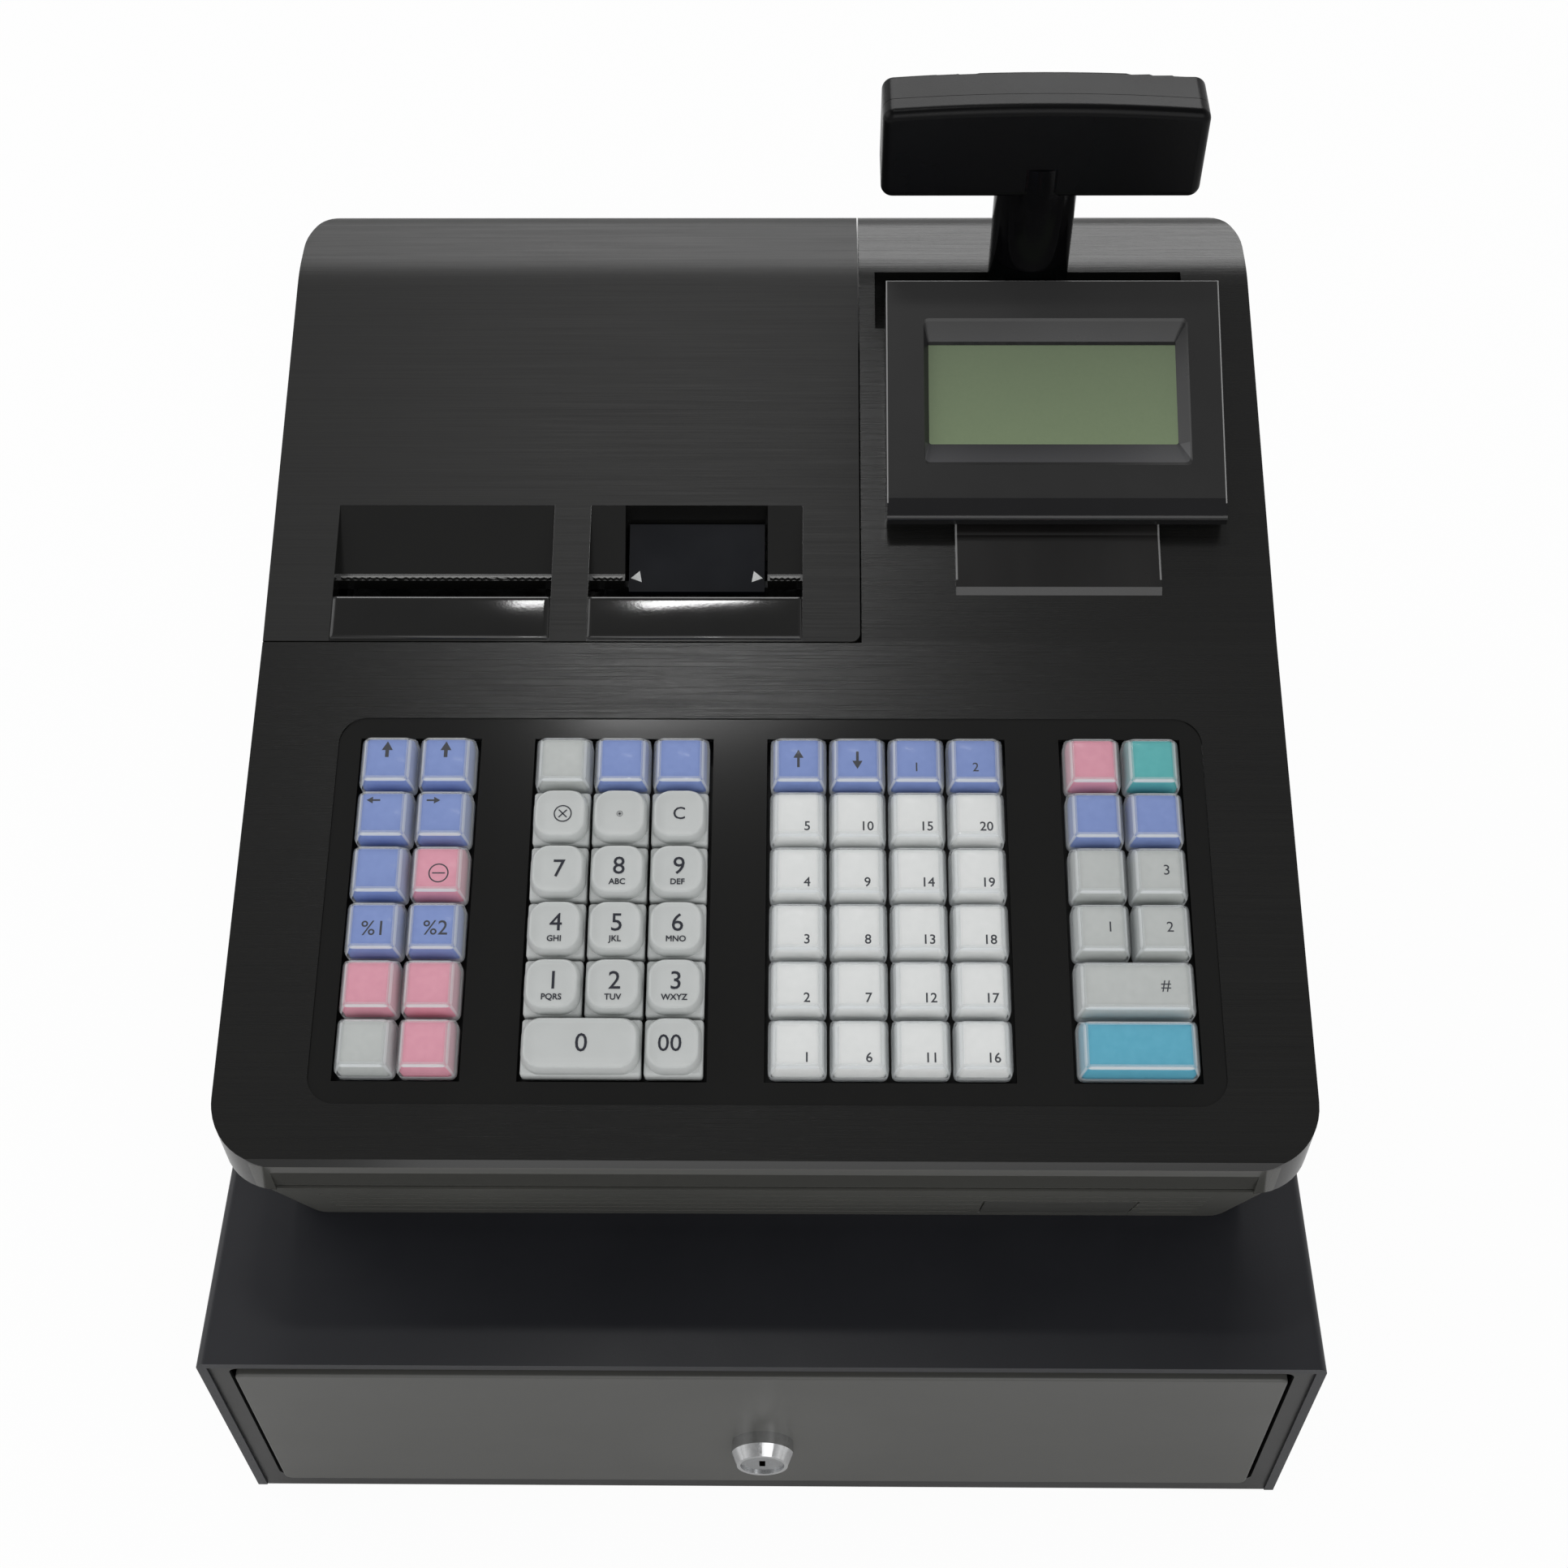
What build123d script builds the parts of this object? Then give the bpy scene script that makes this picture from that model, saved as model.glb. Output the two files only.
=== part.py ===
from build123d import *
from math import atan2, cos, hypot, radians, sin, tan
import os

# Electronic cash register on a steel cash drawer. Millimetres, X to the operator's right,
# Y away from the operator, Z up. The origin is under the middle of the part, on the counter.

os.makedirs("parts", exist_ok=True)

# ---------------------------------------------------------------- fits
running_gap = 0.05  # round shaft in its bearing hole, on the radius
sliding_gap = 0.3  # moulded piece beside the piece it moves past
panel_gap = 0.5  # visible joint between two covers
screw_gap = 0.2  # screw shank in its clearance hole, on the radius

# ---------------------------------------------------------------- drawer case
case_width = 360.0
case_depth = 416.0
case_top = 110.7
foot_height = 6.0
foot_radius = 10.0
foot_side_inset = 24.0
foot_end_inset = 13.0
case_sheet = 1.2
wrap_bend = 3.0
hem_thickness = 3.2
hem_length = 9.0
frame_setback = 1.0
frame_sheet = 1.5
frame_side = 9.3
frame_lip = 1.8  # the front frame reaches this far below the case
frame_top = 5.7
frame_bottom = 8.0

# ---------------------------------------------------------------- drawer and its front
front_proud = 1.0
front_sheet = 2.5
front_rim = 1.5
front_corner = 3.0
front_edge_round = 1.0
front_side_gap = 2.0
front_top_gap = 1.0
front_bottom_gap = 0.5
slide_thickness = 12.5
rail_side_gap = 1.5
pan_sheet = 1.0
pan_setback = 3.0
pan_rise = 3.0
pan_height = 76.0
pan_length = case_depth - 32.0
drawer_travel = 290.0

# ---------------------------------------------------------------- ball slides
slide_height = 40.0
slide_middle_z = 58.0
slide_length = case_depth - 46.0
slide_sheet = 1.5
slide_start = 12.0
outer_flange = 9.0
inner_flange = 8.0
inner_slide_height = 27.0
ball_radius = 2.2
balls_per_track = 4
ball_pitch = 24.0
cage_length = 90.0
cage_thickness = 1.6
cage_width = 3.0

# ---------------------------------------------------------------- coin tray and bill clips
tray_wall = 2.5
tray_front_room = 33.0
tray_length = pan_length - 38.0
tray_height = 62.0
tray_side_gap = 1.5
coin_cups = 6
coin_cup_depth = 76.0
bill_slots = 4
bill_slot_depth = 180.0
clip_rod_radius = 2.0
clip_rod_rise = 5.0
clip_width = 14.0
clip_reach = 104.0
clip_sheet = 2.0
clip_ear = 8.0

# ---------------------------------------------------------------- lock
lock_height = 50.0
lock_reach = 8.0
lock_collar_radius = 10.5
lock_face_radius = 8.6
lock_collar_step = 4.0
lock_body_radius = 9.0
lock_body_length = 20.0
lock_nut_radius = 12.5
lock_nut_thickness = 3.0
plug_radius = 7.35
plug_setback = 0.8
key_slot_width = 2.0
key_slot_height = 4.6
key_slot_depth = 6.0
cam_length = 38.0
cam_width = 10.0
cam_sheet = 3.0
keeper_width = 24.0
keeper_height = 8.0
keeper_gap = 1.5

# ---------------------------------------------------------------- drawer latch and solenoid
striker_width = 16.0
striker_length = 17.0
striker_sheet = 2.0
striker_z = 30.0
striker_hole_start = 5.0
striker_hole_length = 10.0
latch_hub_radius = 4.0
latch_pin_radius = 1.5
latch_pivot_rise = 8.0
latch_pivot_from_back = 4.8
latch_arm = 16.0
latch_arm_height = 4.0
latch_width = 8.0
latch_tip_length = 3.5
latch_tip_drop = 4.5
latch_ear_sheet = 1.5
solenoid_width = 24.0
solenoid_depth = 20.0
solenoid_height = 30.0
solenoid_base_z = 56.0
plunger_radius = 4.0
plunger_length = 44.0
plunger_end_gap = 1.0
plunger_from_pivot = 12.0

# ---------------------------------------------------------------- register body
body_width = 338.0
body_middle = 1.6  # the register sits this far to the right on its drawer
body_front_corner = 20.0
body_rear_corner = 26.0
shell_wall = 2.5
body_front_setback = 33.3
body_rear_setback = 382.0
part_line = 165.0
part_gap = 0.6
front_band_top = 179.5
front_chamfer_depth = 1.7
front_chamfer_rise = 2.0
roof_z = 270.0
shoulder_setback = 343.0
shoulder_round = 40.0
roof_rear_round = 14.0
base_width = body_width - 22.0
base_front_setback = 53.5
base_rear_setback = 392.0
base_front_corner = 12.0
base_rear_corner = 18.0
tub_inset = 0.7
floor_thickness = 2.5
rib_count = 5
rib_pitch = 9.0
rib_groove = 1.4
rib_depth = 0.8
rib_start = 8.0
rib_half_length = base_width / 2 - 18.0
band_recess_half = body_width / 2 - 19.0
band_recess_depth = 1.6
band_recess_height = 11.0
chassis_sheet = 1.2
chassis_inset = 10.0

# ---------------------------------------------------------------- keyboard
key_pitch = 19.0
key_rows = 6
panel_slope = 14.83
key_front_setback = 59.4
key_front_z = 188.0
key_grid_x = 2.3
key_columns = 14
key_block_margin = 0.75
key_gap = 0.9
key_corner = 2.2
key_skirt = 4.0
key_square_rise = 2.0
key_top_rise = 6.8
key_top_inset = 1.9
key_top_round = 1.2
key_stem_side = 5.0
key_travel = 4.0
keyboard_step = 0.6
keyboard_step_margin = 8.0
keyboard_step_corner = 9.0
key_frame_sheet = 1.5
key_frame_drop = 10.5
key_board_drop = 18.4
key_board_sheet = 1.6
key_post_radius = 4.0
key_stem_reach = 1.0
board_margin = 4.0
key_hole_depth = 7.0
key_post_rows = (8.0, 106.0)

# ---------------------------------------------------------------- printer cover
cover_edge_x = body_width / 2 - 136.8
cover_front_setback = 204.7
cover_front_z = 226.4
cover_corner = 3.0
cover_skirt_z = 205.0
cover_hinge_setback = 377.5
cover_hinge_rise = 4.0
cover_hinge_radius = 3.5
cover_pin_radius = 1.5
cover_hinge_spots = (-140.0, 4.0)
cover_knuckle = 10.0
cover_lug = 4.5
cover_relief = 2.0
bay_wall_drop = 15.0
hinge_lug_drop = 16.0
hinge_lug_rise = 4.0
hinge_clear = 6.0
hinge_relief_length = 14.0
slot_liner_z = 224.0
slot_rear_setback = 253.2
slot_ramp_foot_setback = 233.6
slot_lip_setback = 220.3
slot_depth = 8.0
left_slot = (-145.3, -71.8)
right_slot = (-59.3, 12.9)
window_span = (-47.6, 1.0)

# ---------------------------------------------------------------- twin printer
station_centres = (-108.5, -22.2)
station_width = 66.0
station_sheet = 2.0
station_front_setback = 214.0
station_rear_setback = 366.0
station_top_z = 221.0
platen_setback = 230.0
platen_z = 212.0
platen_radius = 6.0
platen_length = 60.0
platen_shaft_radius = 2.0
platen_gear_radius = 8.0
platen_gear_width = 5.0
platen_gear_teeth = 20
head_plate_sheet = 3.0
roll_setback = 300.0
roll_z = 172.0
roll_radius = 38.0
roll_width = 57.5
roll_spindle_radius = 3.0
spool_setback = 350.0
spool_z = 220.0
spool_radius = 8.0
spool_flange_radius = 19.0
spool_flange_sheet = 1.5
motor_radius = 10.0
motor_length = 20.0
guide_sheet = 1.5
guide_side_gap = 1.1

# ---------------------------------------------------------------- operator display
display_width = 114.0
display_x = body_width / 2 - 70.7
display_front_setback = 240.0
display_front_z = 248.0
display_slope = 25.97
display_length = 86.8
display_front_round = 5.0
bezel_thickness = 6.0
display_rear_drop = 20.0
display_bottom_gap = 2.4
display_pivot_setback = 248.0
display_pivot_z = 246.0
display_pin_radius = 2.0
display_pin_length = 5.0
bracket_width = 69.0
bracket_radius = 3.8
bracket_ramp = 2.0
bracket_neck = 2.5
display_cheek = 3.0
bracket_front_setback = 221.0
screen_low = 28.0
screen_high = 65.0
screen_left = display_x - 42.5
screen_right = display_x + 41.9
screen_corner = 0.8
bezel_mouth_low = 19.5
bezel_mouth_high = 72.5
bezel_mouth_left = display_x - 44.3
bezel_mouth_right = display_x + 45.9
bezel_mouth_corner = 1.8
screen_setback = 3.0
screen_thickness = 2.4
display_wall = 2.2
display_toe = 0.6
display_rim_round = 0.6

# ---------------------------------------------------------------- pop-up customer display
stem_x = body_width / 2 - 77.4
stem_setback = 334.0
stem_radius = 13.9
stem_bore = 8.0
stem_bottom_z = 212.0
stem_joint_z = 287.0
stem_joint_gap = 0.3
spigot_radius = 10.0
spigot_length = 15.0
head_width = 106.0
head_front_setback = 320.8
head_depth = 21.2
head_bottom_z = 317.1
head_top_z = 352.4
head_crown = 2.2  # rise of the top from its ends to its middle
head_round = 4.0
head_wall = 2.0
head_seam_setback = 328.7
head_seam = 0.2
neck_rise = 11.5
head_travel = 60.0
head_window_width = 84.0
head_window_height = 18.0
head_window_sheet = 1.5
recess_span = (stem_x - 53.4, stem_x + 55.4)
recess_front_setback = 320.0
recess_rear_setback = 342.5
recess_floor_z = 255.0
recess_wall = 2.0
socket_bottom_z = 200.0
socket_wall = 3.0
socket_flange_radius = 22.0
socket_flange_sheet = 2.0

# ---------------------------------------------------------------- card door and inlet
door_left = base_width / 2 - 86.5
door_right = base_width / 2 - 38.0
door_low = 6.0
door_high = 33.0
door_pin_radius = 1.0
door_pin_rise = 1.6
door_thickness = 2.2
door_notch_span = (door_left + 14.3, door_right - 15.0)
door_notch_height = 1.6
gland_x = base_width / 2 - 36.0
gland_z = 132.0
gland_radius = 7.0
gland_flange_radius = 10.0
gland_flange_sheet = 2.0
gland_bore = 3.2

# ---------------------------------------------------------------- electronics and screws
board_sheet = 1.6
board_z = 124.0
board_span_x = (-60.0, body_width / 2 - 29.0)
board_span_y = (80.0, 190.0)
board_post_side = 6.0
board_post_inset = 6.0
processor_side = 32.0
processor_spot = (40.0, 30.0)
memory_size = (24.0, 14.0)
memory_spot = (100.0, 36.0)
connector_size = (34.0, 26.0)
connector_inset = 138.0
connector_height = 5.0
chip_height = 3.0
capacitor_radius = 6.0
capacitor_height = 20.0
capacitor_rear_inset = 22.0
capacitor_insets = (20.0, 150.0, 168.0)
core_overhang = 10.0
core_rim = 9.0
transformer_size = (56.0, 48.0, 46.0)
transformer_x = body_width / 2 - 41.0
transformer_setback = 255.0
screw_radius = 2.0
screw_head_radius = 3.8
screw_head_height = 2.6
screw_length = 6.0
screw_side = base_width / 2 - 40.0
screw_edge = base_width / 2 - 16.0
screw_spots = (
    (-screw_side, 75.0),
    (0.0, 72.0),
    (screw_side, 75.0),
    (-screw_edge, 200.0),
    (screw_edge, 225.0),
    (-screw_side, 372.0),
    (screw_side, 372.0),
)

# ---------------------------------------------------------------- places worked out from the sizes
front_y = -(case_depth - front_proud - lock_reach) / 2
back_y = front_y + case_depth
case_bottom = foot_height
half_case = case_width / 2
body_left = body_middle - body_width / 2
body_right = body_middle + body_width / 2
side_inside = half_case - 2 * case_sheet
opening_half = half_case - frame_side
pan_half = opening_half - rail_side_gap - inner_flange
outer_web = pan_half + slide_thickness
opening_top = case_top - frame_top
opening_bottom = case_bottom + frame_bottom
front_half = opening_half - front_side_gap
front_top = opening_top - front_top_gap
front_bottom = opening_bottom + front_bottom_gap
front_face_y = front_y - front_proud
pan_front_y = front_y + pan_setback
pan_rear_y = pan_front_y + pan_length
pan_bottom = opening_bottom + pan_rise
pan_top = pan_bottom + pan_height
body_front_y = front_y + body_front_setback
body_rear_y = front_y + body_rear_setback
key_front_y = front_y + key_front_setback
cover_front_y = front_y + cover_front_setback
shoulder_y = front_y + shoulder_setback
chassis_z = case_top + floor_thickness
chassis_top = chassis_z + chassis_sheet
far = 400.0
panel_front_y = body_front_y + front_chamfer_depth
panel_front_z = key_front_z - (key_front_y - panel_front_y) * tan(radians(panel_slope))
front_band_z = panel_front_z - front_chamfer_rise
roof_slope = atan2(roof_z - cover_front_z, shoulder_y - cover_front_y)
below_body = part_line - 40.0

key_plane = Plane(
    origin=(0, key_front_y, key_front_z),
    x_dir=(1, 0, 0),
    z_dir=(0, -sin(radians(panel_slope)), cos(radians(panel_slope))),
)
display_plane = Plane(
    origin=(0, front_y + display_front_setback, display_front_z),
    x_dir=(1, 0, 0),
    z_dir=(0, -sin(radians(display_slope)), cos(radians(display_slope))),
)


# ---------------------------------------------------------------- small makers
def save(builder, name):
    """Labels a finished piece and writes it as its own node."""
    builder.part.label = name
    export_step(builder.part, f"parts/{name}.step")


def block(x_span, y_span, z_span, mode=Mode.ADD):
    """A box between two values on each axis."""
    middle = tuple((low + high) / 2 for low, high in (x_span, y_span, z_span))
    size = tuple(high - low for low, high in (x_span, y_span, z_span))
    with Locations(middle):
        Box(*size, mode=mode)


def rod_x(x_span, y, z, radius, mode=Mode.ADD):
    """A round bar along X."""
    with Locations(Location(((x_span[0] + x_span[1]) / 2, y, z), (0, 90, 0))):
        Cylinder(radius, x_span[1] - x_span[0], mode=mode)


def rod_y(x, y_span, z, radius, mode=Mode.ADD):
    """A round bar along Y."""
    with Locations(Location((x, (y_span[0] + y_span[1]) / 2, z), (90, 0, 0))):
        Cylinder(radius, y_span[1] - y_span[0], mode=mode)


def rod_z(x, y, z_span, radius, mode=Mode.ADD):
    """A round bar along Z."""
    with Locations((x, y, (z_span[0] + z_span[1]) / 2)):
        Cylinder(radius, z_span[1] - z_span[0], mode=mode)


def roof_at(y):
    """Height of the register's upper surface at a given depth."""
    if y < cover_front_y:
        return key_front_z + (y - key_front_y) * tan(radians(panel_slope))
    return min(roof_z, cover_front_z + (y - cover_front_y) * tan(roof_slope))


def plan_outline(half_width, front, rear, front_corner_radius, rear_corner_radius):
    """Closed outline of the register seen from above, for use inside BuildLine."""
    left = body_middle - half_width
    right = body_middle + half_width
    corners = ((left, front), (right, front), (right, rear), (left, rear))
    radii = (front_corner_radius, front_corner_radius, rear_corner_radius, rear_corner_radius)
    FilletPolyline(*corners, radius=radii, close=True)


def inset_corners(corners, inset):
    """Corners of a polygon, listed against the clock, after every side moves inwards."""
    moved = []
    for before, here, after in zip(corners[-1:] + corners[:-1], corners, corners[1:] + corners[:1]):
        run_in = (here[0] - before[0], here[1] - before[1])
        run_out = (after[0] - here[0], after[1] - here[1])
        size_in = hypot(*run_in)
        size_out = hypot(*run_out)
        normal_in = (-run_in[1] / size_in, run_in[0] / size_in)
        normal_out = (-run_out[1] / size_out, run_out[0] / size_out)
        share = inset / (1 + normal_in[0] * normal_out[0] + normal_in[1] * normal_out[1])
        moved.append(
            (
                here[0] + share * (normal_in[0] + normal_out[0]),
                here[1] + share * (normal_in[1] + normal_out[1]),
            )
        )
    return moved


def register_block(inset, low, high, x_low=body_left, x_high=body_right):
    """The upper body's outer form shrunk by inset, between two heights and two sides."""
    side_points = (
        (body_front_y, below_body),
        (body_rear_y, below_body),
        (body_rear_y, roof_z),
        (shoulder_y, roof_z),
        (cover_front_y, cover_front_z),
        (panel_front_y, panel_front_z),
        (body_front_y, front_band_z),
    )
    side_radii = (0, 0, roof_rear_round - inset, shoulder_round - inset, 0, 0, 0)
    with BuildPart() as form:
        with BuildSketch(Plane.YZ.offset(x_low)):
            with BuildLine():
                FilletPolyline(*inset_corners(side_points, inset), radius=side_radii, close=True)
            make_face()
        extrude(amount=x_high - x_low)
        with BuildSketch(Plane.XY.offset(low)):
            with BuildLine():
                plan_outline(
                    body_width / 2 - inset,
                    body_front_y + inset,
                    body_rear_y - inset,
                    body_front_corner - inset,
                    body_rear_corner - inset,
                )
            make_face()
        extrude(amount=high - low, mode=Mode.INTERSECT)
    return form.part


def tub_block(inset, low, high):
    """The lower body's tapering form shrunk by inset, between two heights."""
    with BuildPart() as form:
        for level in (low, high):
            share = (level - case_top) / (part_line - case_top)
            top_front = body_front_y + tub_inset
            half = (1 - share) * base_width / 2 + share * (body_width / 2 - tub_inset)
            front = (1 - share) * (front_y + base_front_setback) + share * top_front
            rear = (1 - share) * (front_y + base_rear_setback) + share * (body_rear_y - tub_inset)
            front_round = (1 - share) * base_front_corner + share * body_front_corner
            rear_round = (1 - share) * base_rear_corner + share * body_rear_corner
            with BuildSketch(Plane.XY.offset(level)):
                with BuildLine():
                    plan_outline(
                        half - inset,
                        front + inset,
                        rear - inset,
                        front_round - inset,
                        rear_round - inset,
                    )
                make_face()
        loft(ruled=True)
    return form.part


# ================================================================ steel case
# Bottom tray of the case: floor, sides, back and the front frame round the drawer opening,
# with the keeper tab that the lock's cam turns behind.
keeper_y = front_face_y + lock_body_length + front_proud + 1.0
with BuildPart() as drawer_base:
    block(
        (-side_inside - case_sheet, side_inside + case_sheet),
        (front_y + frame_setback, back_y),
        (case_bottom, case_bottom + case_sheet),
    )
    for side in (-1, 1):
        wall = sorted((side * side_inside, side * (side_inside + case_sheet)))
        block(wall, (front_y + frame_setback, back_y), (case_bottom, case_top - hem_thickness))
    block(
        (-side_inside, side_inside),
        (back_y - case_sheet, back_y),
        (case_bottom, case_top - case_sheet),
    )
    with BuildSketch(Plane.XZ.offset(-(front_y + frame_setback + frame_sheet))):
        with Locations((0, (case_bottom - frame_lip + case_top - hem_thickness) / 2)):
            Rectangle(2 * side_inside, case_top - hem_thickness - case_bottom + frame_lip)
        with Locations((0, (opening_bottom + opening_top) / 2)):
            opening_size = (2 * opening_half, opening_top - opening_bottom)
            RectangleRounded(*opening_size, front_corner, mode=Mode.SUBTRACT)
    extrude(amount=frame_sheet)
    block(
        (-keeper_width / 2, keeper_width / 2),
        (keeper_y - case_sheet, keeper_y),
        (case_bottom, case_bottom + case_sheet + keeper_height),
    )
save(drawer_base, "drawer_base")

# Folded cover that wraps the left side, the top and the right side, hemmed at the front.
with BuildPart() as drawer_cover:
    with BuildSketch(Plane.XZ.offset(-back_y)) as wrap_section:
        with Locations((0, (case_bottom + case_top) / 2)):
            Rectangle(case_width, case_top - case_bottom)
        fillet(wrap_section.vertices().group_by(Axis.Y)[-1], wrap_bend)
        with Locations((0, (case_bottom + case_top) / 2 - case_sheet)):
            Rectangle(case_width - 2 * case_sheet, case_top - case_bottom, mode=Mode.SUBTRACT)
    extrude(amount=case_depth)
    with BuildSketch(Plane.XZ.offset(-(front_y + hem_length))) as hem_section:
        with Locations((0, (case_bottom + case_top) / 2)):
            Rectangle(case_width, case_top - case_bottom)
        fillet(hem_section.vertices().group_by(Axis.Y)[-1], wrap_bend)
        with Locations((0, (case_bottom + case_top) / 2 - hem_thickness)):
            Rectangle(case_width - 2 * hem_thickness, case_top - case_bottom, mode=Mode.SUBTRACT)
    extrude(amount=hem_length)
    block(
        (-side_inside - case_sheet, side_inside + case_sheet),
        (front_y + frame_setback, front_y + hem_length),
        (case_bottom, case_top - hem_thickness),
        mode=Mode.SUBTRACT,
    )
    for x, setback in screw_spots:
        hole_z = (case_top - hem_thickness, case_top + 1)
        rod_z(x, front_y + setback, hole_z, screw_radius + screw_gap, Mode.SUBTRACT)
save(drawer_cover, "drawer_cover")

# Four moulded feet under the corners.
foot_x = half_case - foot_side_inset
with BuildPart() as rubber_feet:
    for x in (-foot_x, foot_x):
        for y in (front_y + foot_end_inset, back_y - foot_end_inset):
            rod_z(x, y, (0, foot_height), foot_radius)
    fillet(rubber_feet.edges().filter_by(GeomType.CIRCLE).group_by(Axis.Z)[0], 1.0)
save(rubber_feet, "rubber_feet")

# ================================================================ drawer
# Folded steel drawer body with the lock cam's slot in its floor and the latch striker behind.
pan_inside = pan_half - pan_sheet
with BuildPart() as drawer_pan:
    block((-pan_half, pan_half), (pan_front_y, pan_rear_y), (pan_bottom, pan_top))
    block(
        (-pan_inside, pan_inside),
        (pan_front_y + pan_sheet, pan_rear_y - pan_sheet),
        (pan_bottom + pan_sheet, pan_top + 1),
        mode=Mode.SUBTRACT,
    )
    lock_hole_y = (pan_front_y - 1, pan_front_y + pan_sheet + 1)
    rod_y(0, lock_hole_y, lock_height, lock_body_radius + screw_gap, Mode.SUBTRACT)
    block(
        (-cam_length, cam_width),
        (keeper_y + 1.0, keeper_y + cam_sheet + 2 * keeper_gap + 2.0),
        (pan_bottom - 1, pan_bottom + pan_sheet + 1),
        mode=Mode.SUBTRACT,
    )
    block(
        (-striker_width / 2, striker_width / 2),
        (pan_rear_y, pan_rear_y + striker_length),
        (striker_z, striker_z + striker_sheet),
    )
    block(
        (-latch_width / 2 - 1.0, latch_width / 2 + 1.0),
        (pan_rear_y + striker_hole_start, pan_rear_y + striker_hole_start + striker_hole_length),
        (striker_z - 1, striker_z + striker_sheet + 1),
        mode=Mode.SUBTRACT,
    )
save(drawer_pan, "drawer_pan")

# Painted steel front with rolled edges, screwed to the pan.
with BuildPart() as drawer_front:
    with BuildSketch(Plane.XZ.offset(-pan_front_y)):
        with Locations((0, (front_bottom + front_top) / 2)):
            RectangleRounded(2 * front_half, front_top - front_bottom, front_corner)
    extrude(amount=pan_front_y - front_face_y)
    fillet(drawer_front.faces().sort_by(Axis.Y)[0].edges(), front_edge_round)
    block(
        (-front_half + front_rim, front_half - front_rim),
        (front_face_y + front_sheet, pan_front_y + 1),
        (front_bottom + front_rim, front_top - front_rim),
        mode=Mode.SUBTRACT,
    )
    block(
        (-pan_half, pan_half),
        (front_face_y + front_sheet, pan_front_y),
        (pan_bottom + pan_height / 2, pan_bottom + pan_height / 2 + 12.0),
    )
    lock_hole_y = (front_face_y - 1, pan_front_y + 1)
    rod_y(0, lock_hole_y, lock_height, lock_body_radius + screw_gap, Mode.SUBTRACT)
save(drawer_front, "drawer_front")

# Outer slide rails on spacers riveted to the case sides, inner rails riveted to the pan sides.
rail_y = (front_y + slide_start, front_y + slide_start + slide_length)
spacer_z = (slide_middle_z - 10.0, slide_middle_z + 10.0)
with BuildPart() as slide_outer_rails:
    for side in (-1, 1):
        web = sorted((side * outer_web, side * (outer_web - slide_sheet)))
        reach = sorted((side * outer_web, side * (outer_web - outer_flange)))
        spacer = sorted((side * outer_web, side * side_inside))
        block(web, rail_y, (slide_middle_z - slide_height / 2, slide_middle_z + slide_height / 2))
        for end in (-1, 1):
            edge = slide_middle_z + end * slide_height / 2
            block(reach, rail_y, sorted((edge, edge - end * slide_sheet)))
        for middle_y in (rail_y[0] + 30.0, sum(rail_y) / 2, rail_y[1] - 30.0):
            block(spacer, (middle_y - 12.0, middle_y + 12.0), spacer_z)
save(slide_outer_rails, "slide_outer_rails")

with BuildPart() as slide_inner_rails:
    for side in (-1, 1):
        web = sorted((side * pan_half, side * (pan_half + slide_sheet)))
        reach = sorted((side * pan_half, side * (pan_half + inner_flange)))
        half_height = inner_slide_height / 2
        block(web, rail_y, (slide_middle_z - half_height, slide_middle_z + half_height))
        for end in (-1, 1):
            edge = slide_middle_z + end * inner_slide_height / 2
            block(reach, rail_y, sorted((edge, edge - end * slide_sheet)))
save(slide_inner_rails, "slide_inner_rails")

# Ball cages between the rails: they roll half as far as the drawer.
cage_middle_y = front_y + slide_start + slide_length / 2 + drawer_travel / 4 - 48.0
track_offset = (slide_height / 2 - slide_sheet + inner_slide_height / 2) / 2
cage_x = (pan_half + inner_flange + outer_web - outer_flange) / 2
with BuildPart() as slide_ball_cages:
    for side in (-1, 1):
        for end in (-1, 1):
            track_z = slide_middle_z + end * track_offset
            block(
                sorted((side * (cage_x - cage_width / 2), side * (cage_x + cage_width / 2))),
                (cage_middle_y - cage_length / 2, cage_middle_y + cage_length / 2),
                (track_z - cage_thickness / 2, track_z + cage_thickness / 2),
            )
            for number in range(balls_per_track):
                ball_y = cage_middle_y + (number - (balls_per_track - 1) / 2) * ball_pitch
                with Locations((side * cage_x, ball_y, track_z)):
                    Sphere(ball_radius)
save(slide_ball_cages, "slide_ball_cages")

# Lift-out moulded tray: coin cups in front, bill compartments behind, open bays at the back.
tray_half = pan_inside - tray_side_gap
tray_front_y = pan_front_y + pan_sheet + tray_front_room
tray_rear_y = tray_front_y + tray_length
tray_bottom = pan_bottom + pan_sheet
tray_top = tray_bottom + tray_height
cup_pitch = (2 * tray_half - tray_wall) / coin_cups
bill_pitch = (2 * tray_half - tray_wall) / bill_slots
cup_y = (tray_front_y + tray_wall, tray_front_y + tray_wall + coin_cup_depth)
bill_y = (cup_y[1] + tray_wall, cup_y[1] + tray_wall + bill_slot_depth)
clip_rod_y = bill_y[1] + tray_wall / 2
clip_rod_z = tray_top + clip_rod_rise
rear_bay_y = (bill_y[1] + tray_wall, tray_rear_y - tray_wall)
pocket_z = (tray_bottom + tray_wall, tray_top + 1)
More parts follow.
